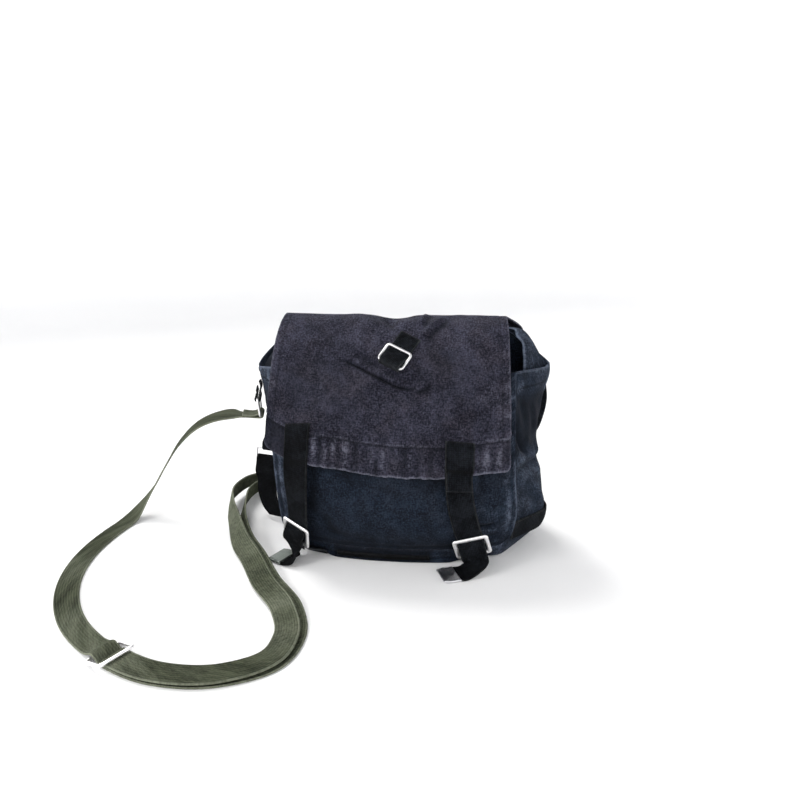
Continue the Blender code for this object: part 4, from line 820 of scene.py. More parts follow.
# Lid: a single layer of canvas, faded paler and browner than the body, sewn across the back and brought
# over the top and down the front. Its sides are turned in narrowly and its broad lower hem is rubbed pale.
FLAP_WIDTH = 0.243
FLAP_SHIFT = -0.0025
FLAP_FALL = 0.7824 * RIDGE_HEIGHT
FLAP_TUCK = 0.038
FLAP_FLARE = 0.015
RIDGE_Y = 0.034
SIDE_HEM = 0.0080
BROAD_HEM = 0.0285
LID_CORNER = 0.006
LID_SAG = 0.009
STRAP_LEFT_X = -0.0875
STRAP_RIGHT_X = 0.069
STRAP_TOP_LEFT = 0.038
STRAP_TOP_RIGHT = 0.033
LID_COLUMNS = 225

# Side view of the lid from its ridge down the front, a row for each station: y as a share of the way
# from the ridge to the belly's front, z as a share of RIDGE_HEIGHT; in the middle, then at the sides
FLAP_ROWS = np.array([
    (0.00, 1.000, 0.00, 1.000),
    (0.14, 0.985, 0.15, 0.980),
    (0.33, 0.925, 0.33, 0.922),
    (0.54, 0.820, 0.49, 0.826),
    (0.75, 0.682, 0.63, 0.690),
    (0.91, 0.552, 0.73, 0.556),
    (1.01, 0.435, 0.80, 0.435),
    (1.04, 0.330, 0.83, 0.330),
])

# Lower edge of the lid, a row for each place across it: place from -1 to 1, length as a share of
# FLAP_FALL
FLAP_EDGE = np.array([
    (-1.00, 0.845),
    (-0.75, 0.925),
    (-0.40, 0.965),
    (0.00, 1.000),
    (0.50, 0.990),
    (1.00, 0.925),
])

# Creases on the lid at places across (-1 to 1) and distances down in metres: the long sagging one
# under the ring and its branch, the valley from the notch, and the soft dents beside the loop
LID_FOLDS = (
    (((-0.40, 0.069), (-0.24, 0.078), (-0.10, 0.087), (0.02, 0.0945), (0.13, 0.0995), (0.28, 0.0995)),
     0.0019, -0.0044, 0.0024),
    (((0.22, 0.103), (0.30, 0.101), (0.36, 0.093)), 0.0024, -0.0020, 0.0016),
    (((-0.09, -0.010), (-0.03, 0.008), (0.00, 0.022), (0.03, 0.034)), 0.0050, -0.0040, 0.0026),
    (((0.44, 0.004), (0.38, 0.018), (0.29, 0.034), (0.23, 0.046)), 0.0032, 0.0026, -0.0018),
    (((0.28, -0.006), (0.25, 0.014), (0.22, 0.028)), 0.0028, 0.0022, -0.0015),
    (((0.30, 0.042), (0.40, 0.060), (0.55, 0.072)), 0.0130, -0.0026, 0.0),
    (((-0.60, 0.020), (-0.45, 0.040), (-0.22, 0.056)), 0.0130, -0.0016, 0.0012),
    (((-0.26, 0.060), (-0.14, 0.074), (-0.06, 0.082)), 0.0080, -0.0018, 0.0),
    (((0.60, 0.110), (0.72, 0.122), (0.84, 0.140)), 0.0100, -0.0012, 0.0010),
    (((-0.80, 0.070), (-0.74, 0.100), (-0.72, 0.126)), 0.0110, -0.0012, 0.0010),
)


def path_run(path):
    """Distance along a path, whose first three columns are its places."""
    return np.r_[0.0, np.cumsum(np.linalg.norm(np.diff(path[:, :3], axis=0), axis=1))]


def smooth_line(points, count):
    """Evenly spaced points on a smooth line through the given points, of any number of columns."""
    knots = path_run(points)
    line = smooth_columns(knots, points, np.linspace(0.0, knots[-1], 40 * len(points)))
    run = path_run(line)
    even = np.linspace(0.0, run[-1], count)
    return np.stack([np.interp(even, run, column) for column in line.T], axis=1)


def lid_line(column_y, column_z):
    """Distance down the front of the lid, y and z along one of its two side views."""
    belly_front = FRONT_SEAM_Y - BELLY - 2 * CLOTH
    y = RIDGE_Y + FLAP_ROWS[:, column_y] * (belly_front - RIDGE_Y)
    z = FLAP_ROWS[:, column_z] * RIDGE_HEIGHT
    line = smooth_line(np.c_[y, z, np.zeros(len(y))], count=240)[:, :2]
    run = np.r_[0.0, np.cumsum(np.hypot(*np.diff(line, axis=0).T))]
    return run, line[:, 0], line[:, 1]


LID_MIDDLE = lid_line(0, 1)
LID_SIDE = lid_line(2, 3)


def lid_half_width(down):
    """Half width of the lid: narrowest at the ridge, wider at its lower edge and at the back."""
    front, back = np.clip(down / FLAP_FALL, 0.0, 1.0), np.clip(-down / FLAP_TUCK, 0.0, 1.0)
    return FLAP_WIDTH / 2 * (0.96 + 0.04 * front + 0.07 * back)


def lid_point(u, down):
    """Middle surface of the lid at a place across and a distance down, below zero behind the ridge.

    Its side view changes from the middle's to the sides' with the place across to the power 2.2, and
    behind the ridge it turns through a quarter of an oval on to the back panel.
    """
    u, down = np.broadcast_arrays(np.asarray(u, float), np.asarray(down, float))
    side = np.abs(u) ** 2.2
    front = np.maximum(down, 0.0)
    y, z = (np.interp(front, LID_MIDDLE[0], LID_MIDDLE[k]) * (1 - side)
            + np.interp(front, LID_SIDE[0], LID_SIDE[k]) * side for k in (1, 2))
    x = FLAP_SHIFT + u * lid_half_width(down)
    z = z - RIDGE_DIP * np.exp(-(u / 0.13) ** 2) * np.exp(-((down - CLOTH) / DIP_DEPTH) ** 2)
    behind = np.clip(-down / FLAP_TUCK, 0.0, 1.0)
    turn = np.minimum(1.0, behind / 0.45) * math.pi / 2
    x = x + FLAP_FLARE * np.maximum(u, 0.0) ** 3 * np.sin(turn)
    seat = back_y(x, BACK_HEIGHT) + CLOTH + GAP * 2
    y = y + (seat - RIDGE_Y) * np.sin(turn)
    z = z - (RIDGE_HEIGHT - BACK_HEIGHT + CLOTH) * 0.5 * (1 - np.cos(turn))
    fall = np.clip(behind - 0.45, 0.0, 1.0) * FLAP_TUCK
    z = z - fall * 1.25 - LID_SAG * ease(u, 0.86, 1.0) * np.sin(turn)
    y = np.where(fall > 0, np.maximum(y, back_y(x, np.minimum(z, BACK_HEIGHT)) + CLOTH + GAP * 2), y)
    return np.stack([x, y, z], axis=-1)


def lid_normal(u, down):
    """Direction out of the lid."""
    step = 0.001
    du = lid_point(u + 0.01, down) - lid_point(u - 0.01, down)
    dd = lid_point(u, down + step) - lid_point(u, down - step)
    return unit(np.cross(dd, du))


def lid_length(u):
    """Length of the lid from the ridge to its lower edge, at a place across it."""
    return FLAP_FALL * curve(FLAP_EDGE, 1, u)


def on_lid_cloth(x, down, lift):
    """Point at a place x and a distance down the lid, lifted off its middle surface."""
    u = (x - FLAP_SHIFT) / lid_half_width(down)
    return lid_point(u, down) + lid_normal(u, down) * np.asarray(lift)[..., None]


def lid_cut(u):
    """Length of the lid with its two lower corners rounded to a quarter circle."""
    corner = np.clip((np.abs(u) - 1) * FLAP_WIDTH / 2 / LID_CORNER + 1, 0.0, 1.0)
    return lid_length(u) - LID_CORNER * (1 - np.sqrt(1 - corner**2))


lid_across = np.linspace(-1, 1, LID_COLUMNS)
lid_share = np.linspace(0.0, 1.0, 171)
behind_ridge = np.linspace(-1.0, 0.0, 26)[:-1, None] * FLAP_TUCK
lid_down = np.concatenate([behind_ridge + np.zeros(LID_COLUMNS), lid_share[:, None] * lid_cut(lid_across)])
lid_u = np.broadcast_to(lid_across, lid_down.shape)
lid_base = lid_point(lid_u, lid_down)
lid_side_gap = (1 - np.abs(lid_u)) * lid_half_width(lid_down)
lid_foot_gap = lid_cut(lid_u) - lid_down
lid_x = lid_u * lid_half_width(lid_down)
lid_out = directions(lid_base, (0.0, -1.0, 0.6))

lid_rise = soft_waves(lid_x, lid_down, 0.0010, 0.00028, 81)
lid_crease = np.zeros(lid_x.shape)
for points, width, height, lip in LID_FOLDS:
    scaled = [(place * FLAP_WIDTH / 2, down) for place, down in points]
    made = fold(lid_x, lid_down, scaled, width, height, lip)
    lid_rise = lid_rise + made
    lid_crease = lid_crease + (made if width < 0.004 else 0.25 * made)
on_hem = 1 - ease(lid_foot_gap, BROAD_HEM - 0.0005, BROAD_HEM + 0.0015)
on_side_hem = 1 - ease(lid_side_gap, SIDE_HEM - 0.0005, SIDE_HEM + 0.0010)
rib_turn = lid_x / 0.0118 + 0.38 * rumple(lid_x, lid_foot_gap * 0.30, 0.021, 90)
ribs = (0.65 * np.sin(2 * math.pi * rib_turn) * (0.65 + 0.5 * rumple(lid_x, lid_foot_gap * 0.22, 0.016, 89))
        + 0.55 * rumple(lid_x, lid_foot_gap * 0.22, 0.0070, 91)
        + 0.35 * rumple(lid_x, lid_foot_gap * 0.3, 0.0036, 92))
rib_share = on_hem * (0.35 + 0.65 * bump(lid_foot_gap, BROAD_HEM * 0.80, BROAD_HEM * 0.45))
side_ribs = rumple(lid_down, lid_side_gap * 0.4, 0.0060, 93)
side_ribs = side_ribs * bump(lid_side_gap, SIDE_HEM * 0.6, SIDE_HEM * 0.6)
strap_calm = np.ones(lid_x.shape)
for strap_x, sewn in ((STRAP_LEFT_X, STRAP_TOP_LEFT), (STRAP_RIGHT_X, STRAP_TOP_RIGHT)):
    under_strap = np.exp(-((lid_base[..., 0] - strap_x) / 0.018) ** 4)
    strap_calm = strap_calm - 0.92 * under_strap * (1 - ease(lid_foot_gap, sewn - 0.001, sewn + 0.008))
rib_height = 0.0013 * ribs * rib_share + 0.0004 * side_ribs * ease(lid_down, -0.002, 0.01)
grooves = (seam_grooves(lid_foot_gap, BROAD_HEM, 0.0014, 0.0008)
           + seam_grooves(lid_side_gap, SIDE_HEM, 0.0012, 0.0005) * ease(lid_down, -0.004, 0.004))
hem_step = 0.0007 * np.maximum(on_hem, on_side_hem * ease(lid_down, -0.004, 0.004))
tuck_calm = ease(lid_down, -0.020, 0.004)
lid_rise = (lid_rise * (1 - 0.6 * on_hem) + rib_height) * strap_calm * tuck_calm + grooves * tuck_calm
lid_pile = lid_base + lid_out * (lid_rise + 0.5 * hem_step)[..., None]
lid_edge_wave = 0.0009 * rumple(lid_x, 0.0, 0.011, 94) + 0.0004 * rumple(lid_x, 0.0, 0.0035, 95)
lid_pile[..., 2] += lid_edge_wave * (1 - ease(lid_foot_gap, 0.0, 0.010))
at_left = ease(-lid_x, 0.070, 0.100)
lid_fade = (0.80 * bump(lid_foot_gap, 0.0, 0.0017) + 0.42 * bump(lid_side_gap, 0.0, 0.0016)
            + on_hem * (0.05 + 0.50 * ease(ribs, -0.1, 1.2)) * bump(lid_foot_gap, 0.016, 0.013)
            * (1 - 0.5 * at_left)
            + 0.25 * bump(lid_foot_gap, BROAD_HEM + 0.0022, 0.0018)
            + 0.35 * np.clip(side_ribs, 0, 1) + 0.20 * bump(lid_down, 0.0, 0.0045)
            + 0.20 * np.clip(lid_rise / 0.0022, 0, 1) * (1 - on_hem)
            + 0.10 * rumple(lid_x, lid_down, 0.024, 96))
# Painted shade in the creases and between the hem's ribs; darker at the stitch lines, in three soft patches,
# on the left hem and over the lower part.
lid_soil_and_shade = (1.05 * np.clip(-lid_crease / 0.0026, 0, 1) + 0.55 * on_hem * np.clip(-ribs - 0.05, 0, 1)
            + 0.45 * bump(lid_foot_gap, BROAD_HEM, 0.0012) + 0.25 * bump(lid_side_gap, SIDE_HEM, 0.0010)
            + 0.15 * bump(np.hypot(lid_x - 0.062, (lid_down - 0.056) * 0.7), 0.0, 0.032)
            + 0.10 * bump(np.hypot(lid_x - 0.002, lid_down - 0.066), 0.0, 0.030)
            + 0.20 * bump(np.hypot(lid_x + 0.066, lid_down - 0.098), 0.0, 0.042)
            + 0.45 * at_left * on_hem + 0.32 * ease(lid_down, 0.040, 0.085)
            # The lid's flared rear part at the right, but not its edge, is painted dark: painted shade of the
            # opening under its rim.
            + 0.95 * ease(lid_u, 0.88, 0.93) * ease(lid_side_gap, 0.0, 0.003)
            * (1 - ease(lid_down, -0.012, -0.006)))
lid_canvas = canvas_finish("lid_canvas", linear(18, 18, 26), linear(64, 64, 78), linear(75, 67, 71),
                           linear(114, 115, 130), 0.16)
lid_face = directions(lid_pile, (0.0, -1.0, 0.6))
lid = canvas_piece("lid_canvas", "flap", lid_pile, lid_face, CLOTH * 0.85 + hem_step,
                   np.clip(lid_fade, 0, 1.25), np.clip(lid_soil_and_shade, 0, 1), lid_base, lid_canvas)


# Black webbing sewn on the gusset: a band along the lower front edge, and one across the right side
# near the bottom. It is narrow cotton tape with a ribbed face, stitched flat on the canvas.
WEB = 0.0018
STRAP_EASE = 0.0005
FLAT_LIFT = CLOTH / 2 + GAP + WEB / 2
BAND_LEFT_X = -0.052
BAND_RIGHT_X = 0.042
SIDE_BAND_WIDTH = 0.020
RIB_PITCH = 0.0016
TAPE_COLUMNS = 13

# Webbing across the right side, a row for each share of the way to the back: height of its middle as
# a share of its width
SIDE_BAND_ROWS = np.array([
    (0.00, 1.72),
    (0.40, 1.42),
    (0.75, 1.25),
    (1.00, 1.48),
])


def webbing_finish(name, dark, light, pale, rib, rough=0.86, shade=0.30):
    """Woven tape: ribs along it, each a row of slanted threads, its edges rubbed paler and fuzzy."""
    tape = Finish(name, rough, Sheen_Weight=0.02, Sheen_Roughness=0.5,
                  Sheen_Tint=(*light, 1.0), Specular_IOR_Level=0.04)
    place = tape.cloth_place()
    u, v, _ = tape.parts(tape.scaled(place, (math.pi / rib, math.pi / (rib * 0.62), 0.0)))
    ribs = u.maths("ABSOLUTE", u.maths("SINE", u))
    slant = v.maths("SINE", v + ribs * 1.6) * 0.5 + 0.5
    fibre = tape.grain(place, 0.0009, 2.0, 0.6, (0.7, 3.0, 1.0))
    fleck = tape.grain(place, 0.0040, 3.0, 0.65)
    cloud = tape.grain(place, 0.022, 2.0, 0.5)
    height = ribs * 0.6 + slant * 0.35 * ribs + fibre * 0.35
    light_share = (ribs * 0.24 + slant * 0.12 + fibre * 0.42 + fleck.from_to(0.3, 0.7) * 0.25
                   + cloud.from_to(0.3, 0.7) * 0.28 - shade)
    colour = tape.blend(light_share.from_to(0.05, 0.95), dark, light)
    worn = (tape.mark("fade") * (0.35 + fleck * 0.9 + fibre * 0.4 - 0.2)).from_to(0.05, 1.0)
    colour = tape.blend(worn, colour, pale)
    # Darker by the piece's soil mark, which holds dirt and also painted shade, such as under the lid ring's
    # bar.
    colour = tape.blend(tape.mark("soil_and_shade").from_to(0.0, 1.0, 0.0, 0.7), colour, (0.003, 0.003, 0.003))
    tape.fill("Base Color", colour)
    tape.fill("Roughness", 0.93 - fibre * 0.12 - worn * 0.05)
    tape.relief(height, 0.00040, 0.9)
    return tape.material


black_webbing = webbing_finish("black_webbing", linear(2, 3, 5), linear(33, 36, 41), linear(56, 58, 60),
                               RIB_PITCH)


def grid_at(grid, rows, columns):
    """Points between the corners of a grid, at row and column numbers that need not be whole."""
    rows, columns = np.broadcast_arrays(np.asarray(rows, float), np.asarray(columns, float))
    i = np.clip(rows.astype(int), 0, grid.shape[0] - 2)
    j = np.clip(columns.astype(int), 0, grid.shape[1] - 2)
    a, b = (rows - i)[..., None], (columns - j)[..., None]
    return ((grid[i, j] * (1 - a) + grid[i + 1, j] * a) * (1 - b)
            + (grid[i, j + 1] * (1 - a) + grid[i + 1, j + 1] * a) * b)


gusset_out = outward(gusset_base)


def on_gusset(rows, columns, lift):
    """Points lifted off the gusset, at places counted in its cut's rows and columns."""
    rows, columns = np.asarray(rows) * FINE_ROWS, np.asarray(columns) * FINE_COLUMNS
    return grid_at(gusset_base, rows, columns) + unit(grid_at(gusset_out, rows, columns)) * lift


def floor_row(x):
    """Row of the gusset where its front edge crosses a place x under the bag."""
    edge = gusset_base[:, 0]
    low = np.where(edge[:, 2] < PANEL_FOOT + SEAM_LIP * 2)[0]
    return np.interp(x, edge[low, 0], low / FINE_ROWS)


def tape_piece(name, grid, normal, marks, finish=black_webbing):
    """Woven tape on a grid of its middle surface: closed, with half round edges paler than its face."""
    u, v = lengths_on(grid)
    edge = np.minimum(u - u[:, :1], u[:, -1:] - u)
    ends = np.minimum(v - v[:1], v[-1:] - v)
    rub = 0.55 * bump(edge, 0.0, 0.0010) + 0.5 * bump(ends, 0.0, 0.0012)
    marks = {"soil_and_shade": 0.0, "fade": 0.0, **marks}
    marks["fade"] = marks["fade"] + rub + 0.15 * rumple(u, v, 0.02, 7)
    marks = {key: np.clip(np.broadcast_to(values, u.shape), 0, 1.2) for key, values in marks.items()}
    made = cloth_piece(name, grid, normal, WEB, marks)
    made.data.materials.append(finish)
    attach(made, "root")
    return made


def black_sheet(node):
    """Hides the solid that a piece of black webbing stands for."""
    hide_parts(node)


rows = np.linspace(floor_row(BAND_LEFT_X), floor_row(BAND_RIGHT_X), 101)[:, None]
band_columns = np.interp(np.linspace(0, 3, 19), [0, 1, 2, 3], [0.32, 0.64, 1.0, 1.35])[None, :]
base_grid = on_gusset(rows, band_columns, FLAT_LIFT + STRAP_EASE)
base_band = tape_piece("base_webbing", base_grid, outward(base_grid), {"soil_and_shade": 0.85})
black_sheet("base_band")

first_right = int(floor_row(PANEL_WIDTH)) + 1
right_rows = np.arange(first_right * FINE_ROWS, len(gusset_base))
side_columns = np.linspace(0.45, GUSSET_COLUMNS - 0.6, 91)
middle = curve(SIDE_BAND_ROWS, 1, side_columns / GUSSET_COLUMNS) * SIDE_BAND_WIDTH
heights = [grid_at(gusset_base, right_rows, c * FINE_COLUMNS)[:, 2] for c in side_columns]
side_lines = []
for share in np.linspace(-0.5, 0.5, 17):
    place = [np.interp(m + share * SIDE_BAND_WIDTH, z, right_rows / FINE_ROWS)
             for m, z in zip(middle, heights)]
    side_lines.append(on_gusset(np.array(place), side_columns, FLAT_LIFT + STRAP_EASE * 3))
side_grid = np.stack(side_lines).transpose(1, 0, 2)
side_band = tape_piece("side_webbing_right", side_grid, outward(side_grid), {})
black_sheet("side_band_right")


# Front straps: two lengths of black webbing sewn on the lid's hem. Each goes down behind the upper
# bar of its buckle and out over the lower one, and its tail lies on the surface under the bag.
STRAP_WIDTH = 0.026
PATCH_LENGTH = 0.0465
PATCH_SEWN = 0.027
BUCKLE_WIDTH = 0.036
BUCKLE_HEIGHT = 0.024
BUCKLE_BAR = 0.0042
BUCKLE_THICK = 0.0024
BUCKLE_CORNER = 0.0035
BUCKLE_RISE_LEFT = 0.032
BUCKLE_RISE_RIGHT = 0.0265
BUCKLE_CLEAR_LEFT = 0.013
BUCKLE_CLEAR_RIGHT = 0.011
TIP_LENGTH = 0.017
TIP_THICK = 0.0030
ANCHOR_WIDTH = 0.023
WIRE_LIFT = GAP + WEB / 2
LAYER = WEB + 2 * GAP


def frame_of(centre, right, up):
    """Centre and three square directions: along right, along up, and out of their face."""
    ex = unit(right)
    ez = unit(np.cross(ex, up))
    return np.asarray(centre, float), ex, np.cross(ez, ex), ez


def buckle_frame(side):
    """Frame of a buckle: in front of the front panel, a little off it, its top leaning out."""
    if side == "left":
        x, z, clear = STRAP_LEFT_X - 0.2 * STRAP_WIDTH, BUCKLE_RISE_LEFT, BUCKLE_CLEAR_LEFT
        right, up = (0.84, -0.50, -0.20), (0.0, -0.2, 0.98)
    else:
        x, z, clear = STRAP_RIGHT_X + 0.62 * STRAP_WIDTH, BUCKLE_RISE_RIGHT, BUCKLE_CLEAR_RIGHT
        right, up = (0.96, 0.0, 0.28), (0.0, -0.25, 0.97)
    return frame_of((x, front_y(x, z) - clear, z), right, up)


def lid_edge_down(x):
    """Distance down the lid to its lower edge at a place x."""
    return float(lid_length((x - FLAP_SHIFT) / lid_half_width(FLAP_FALL)))


def front_strap_path(side, top_x, sewn, heading, run, aside):
    """Path of a front strap: down the lid, behind the buckle's top bar, over its lower bar, along the
    surface that the bag stands on. A smooth line joins the places that the bars and the cloth give."""
    centre, ex, ey, ez = buckle_frame(side)
    half = (BUCKLE_HEIGHT - BUCKLE_BAR) / 2
    edge = lid_edge_down(top_x)
    downs = np.linspace(edge - sewn, edge - CLOTH, 6)
    lift = np.full(6, FLAT_LIFT + STRAP_EASE)
    on = on_lid_cloth(np.full(6, top_x), downs, lift)
    wide = unit(on_lid_cloth(np.full(6, top_x + STRAP_WIDTH / 2), downs, lift)
                - on_lid_cloth(np.full(6, top_x - STRAP_WIDTH / 2), downs, lift))
    behind = BUCKLE_THICK / 2 + WIRE_LIFT
    over = behind + LAYER + 4 * GAP
    through = np.array([centre + ey * (half + 0.011) - ez * behind,
                        centre + ey * half - ez * behind,
                        centre + ey * half * 0.40 + ez * over * 0.10,
                        centre - ey * half * 0.30 + ez * over * 0.85,
                        centre - ey * half + ez * over,
                        centre - ey * (half + 1.2 * BUCKLE_BAR) + ez * (over + 3 * GAP)])
    heading = unit(np.array([*heading, 0.0]))
    across = np.array([-heading[1], heading[0], 0.0])
    across = across * np.sign(np.dot(across, ex))
    floor = WEB / 2 + 2 * GAP
    land = through[-1] * (1, 1, 0) + unit(ex * (1, 1, 0)) * aside + heading * 0.008 + (0, 0, floor)
    tail = np.array([land - heading * 0.002 + (0, 0, 0.0035), land + heading * run * 0.4,
                     land + heading * run])
    line = np.concatenate([on, through, tail])
    turn = [unit(ex * 0.75 + across * 0.25), unit(ex * 0.3 + across * 0.7)]
    side_ways = np.concatenate([wide, np.tile(ex, (5, 1)), [turn[0]], [turn[1]], np.tile(across, (2, 1))])
    path = smooth_line(np.c_[line, side_ways], count=161)
    for place in (-0.5, 0.0, 0.5):
        point = path[:, :3] + unit(path[:, 3:]) * STRAP_WIDTH * place
        clear = front_y(point[:, 0], point[:, 2]) - FLAT_LIFT - 3 * GAP
        beside = (point[:, 2] > PANEL_FOOT) & (np.abs(point[:, 0]) < PANEL_WIDTH / 2)
        path[:, 1] -= np.where(beside, np.maximum(point[:, 1] - clear, 0.0), 0.0)
    return path, land + heading * run, heading, across


def tape_along(name, path, width, toward, marks, curl=0.0, finish=black_webbing):
    """Woven tape along a path: its middle line, with the direction across it at every point.

    toward is a direction that its face looks to at its start. width is one number or one for each
    point. curl is how far its edges curl back, as a share of its width, by the square of the place
    across.
    """
    line, wide = path[:, :3], unit(path[:, 3:6])
    along = unit(np.gradient(line, axis=0))
    face = unit(np.cross(wide, along))
    face = face * (1.0 if np.dot(face[0], toward) >= 0 else -1.0)
    place = np.linspace(-0.5, 0.5, TAPE_COLUMNS)
    reach = np.broadcast_to(width, len(line))[:, None] * place[None, :]
    grid = line[:, None] + reach[..., None] * wide[:, None]
    grid = grid - face[:, None] * (curl * np.mean(width) * (2 * place) ** 2)[None, :, None]
    normal = unit(face[:, None] + wide[:, None] * (8 * curl * place)[None, :, None])
    return tape_piece(name, grid, normal, marks, finish), grid


def layer_over(path, lift):
    """The same path moved off its own face, to the side away from the bag."""
    normal = unit(np.cross(path[:, 3:], np.gradient(path[:, :3], axis=0)))
    normal = normal * np.sign(-normal[:, 1:2])
    return np.c_[path[:, :3] + normal * lift, path[:, 3:]]


def stitch_line(points, normals, pitch=0.0032, length=0.0021, width=0.00042, sink=0.00010):
    """Row of stitches along a line: each a short thread pulled down at both ends.

    A thread is an oval tube of six sides and seven rings, whose middle line follows the chord and
    sinks at its ends by the square of the share along it. Returns corners and faces.
    """
    run = path_run(points)
    starts = np.arange(pitch * 0.5, run[-1] - length, pitch)
    share = np.linspace(0.0, 1.0, 7)
    where = starts[:, None] + share * length
    line, up = (np.stack([np.interp(where, run, values[:, k]) for k in range(3)], axis=-1)
                for values in (points, normals))
    up = unit(up)
    heading = unit(line[:, -1:] - line[:, :1])
    wide = unit(np.cross(up, heading))
    arch = (1 - (2 * share - 1) ** 4)[None, :, None]
    middle = line + up * (width * 0.55 * arch - sink - width * 0.5 * (1 - arch))
    round_at = np.linspace(0, 2 * math.pi, 6, endpoint=False)
    fat = (np.sin(math.pi * np.clip(share, 0.02, 0.98)) ** 0.35)[None, :, None, None] * width / 2
    tube = (middle[:, :, None] + wide[:, :, None] * np.cos(round_at)[:, None] * fat
            + up[:, :, None] * np.sin(round_at)[:, None] * fat)
    count = len(starts)
    at = np.arange(count * 42).reshape(count, 7, 6)
    skin = np.stack([at[:, :-1], np.roll(at, -1, 2)[:, :-1], np.roll(at, -1, 2)[:, 1:], at[:, 1:]], axis=-1)
    lids = np.concatenate([at[:, 0][:, [0, 3, 2, 1]], at[:, 0][:, [0, 5, 4, 3]],
                           at[:, 6][:, [0, 1, 2, 3]], at[:, 6][:, [0, 3, 4, 5]]])
    return tube.reshape(-1, 3), np.concatenate([skin.reshape(-1, 4), lids])


def thread_finish(name, dark, light):
    """Sewing thread: twisted plies seen as fine slanting light and dark, slightly glossy."""
    thread = Finish(name, 0.85, Specular_IOR_Level=0.08)
    place = thread.body_place()
    ply = thread.grain(place, 0.0005, 1.0, 0.5, twist=1.0)
    cloud = thread.grain(place, 0.012, 2.0, 0.5)
    thread.fill("Base Color", thread.blend((ply * 0.6 + cloud * 0.6 - 0.1).from_to(0.2, 0.8), dark, light))
    thread.fill("Roughness", 0.95 - ply * 0.15)
    return thread.material


dark_thread = thread_finish("dark_thread", linear(4, 4, 6), linear(22, 22, 26))


def sew(name, rows):
    """All the stitches of one piece's seams as one object."""
    verts, faces, count = [], [], 0
    for points, normals in rows:
        v, f = stitch_line(points, normals)
        verts.append(v)
        faces.append(f + count)
        count += len(v)
    made = mesh_piece(name, np.concatenate(verts), np.concatenate(faces))
    made.data.materials.append(dark_thread)
    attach(made, "root")


def on_face(grid, normal, rows, columns, lift):
    """Line on a piece's face at given rows and columns of its grid, with the directions out of it."""
    points = grid_at(grid, rows, columns)
    out = unit(grid_at(normal, rows, columns))
    return points + out * lift, out


def box_stitch(grid, toward, first, last, inset=1.6):
    """Row of stitches round a rectangle on a tape, a little inside its edges and between two rows."""
    normal = directions(grid, toward)
    right = grid.shape[1] - 1 - inset
    steps = max(int(last - first), 2) * 3
    down, up = np.linspace(first, last, steps), np.linspace(last, first, steps)
    across = np.linspace(inset, right, 40)
    rows = np.r_[down, np.full(40, last), up, np.full(40, first)]
    columns = np.r_[np.full(steps, inset), across, np.full(steps, right), across[::-1]]
    return on_face(grid, normal, rows, columns, WEB / 2)


FRONT = (0.0, -1.0, 0.3)
strap_ends = {}
for side, top_x, sewn, heading, run, aside in (
        ("left", STRAP_LEFT_X, STRAP_TOP_LEFT, (-0.85, 0.45), 0.006, 0.009),
        ("right", STRAP_RIGHT_X, STRAP_TOP_RIGHT, (-0.90, -0.35), 0.012, 0.0)):
    path, end, way, across = front_strap_path(side, top_x, sewn, heading, run, aside)
    strap_ends[side] = (end, way, across)
    along = path_run(path)
    sway = rumple(along, 0.0, 0.020, 101 if side == "left" else 103)
    free = ease(along, sewn, sewn + 0.02) * (1 - ease(along, along[-1] - 0.055, along[-1] - 0.035))
    path[:, 1] -= 0.0008 * np.clip(sway, 0, 1) * free
    # Darker where it leaves the lid, along its waves, and over the last 40 mm, which is painted shade of the
    # bend down to the floor; the left strap is darker.
    soil_and_shade = 0.5 * bump(along, sewn, 0.003) + 0.5 * ease(along, along[-1] - 0.04, along[-1])
    soil_and_shade = (soil_and_shade + (0.60 if side == "left" else 0.26) + 0.22 * sway)[:, None]
    strap, strap_grid = tape_along("front_webbing_" + side, path, STRAP_WIDTH, FRONT,
                                   {"soil_and_shade": np.clip(soil_and_shade, 0, 1)}, curl=0.012)
    black_sheet("front_strap_" + side)
    stitched = int(np.searchsorted(along, sewn * 0.80))
    if side == "left":
        sew("front_stitches_left", [box_stitch(strap_grid, FRONT, 2, stitched)])
    else:
        patch_path = layer_over(path, LAYER)[along <= PATCH_LENGTH]
        patch_run = path_run(patch_path)
        patch_width = STRAP_WIDTH * (1.07 - 0.09 * ease(patch_run, PATCH_SEWN - 0.001, PATCH_SEWN + 0.003))
        patch_soil = 0.25 + 0.75 * bump(patch_run, PATCH_SEWN + 0.001, 0.0016)[:, None]
        patch, patch_grid = tape_along("patch_webbing_right", patch_path, patch_width, FRONT,
                                       {"soil_and_shade": np.clip(patch_soil, 0, 1)}, curl=0.010)
        black_sheet("strap_patch_right")
        stitched = int(np.searchsorted(patch_run, PATCH_SEWN))
        sew("front_stitches_right", [box_stitch(patch_grid, FRONT, 2, stitched)])


# Metal ends of the straps' tails: a folded plate of thin steel pinched on to the end of each tail. The
# left one has a darker, rougher copy of the steel, a painted shade of the shadow that it lies in.
RING_WIRE = 0.0032


def metal_finish(name, base, deep, rough):
    """Plated metal: bright, with cloudy dull patches, fine scratches and darker spots in its pits."""
    metal = Finish(name, rough, metallic=1.0)
    place = metal.body_place()
    cloud = metal.grain(place, 0.006, 3.0, 0.6)
    pits = metal.grain(place, 0.0012, 3.0, 0.65)
    scratch = metal.grain(place, 0.0004, 1.0, 0.5, (14.0, 1.0, 6.0), twist=0.3)
    spots = pits.from_to(0.58, 0.72)
    metal.fill("Base Color", metal.blend(spots * 0.55 + cloud.from_to(0.5, 0.75) * 0.20, base, deep))
    dulled = cloud.from_to(0.3, 0.7, rough - 0.06, rough + 0.12)
    metal.fill("Roughness", dulled + spots * 0.2 + scratch * 0.05)
    metal.relief(scratch * 0.4 + pits * 0.6, 0.00006, 0.6)
    return metal.material


bright_metal = metal_finish("bright_metal", linear(238, 237, 238), linear(150, 148, 148), 0.34)
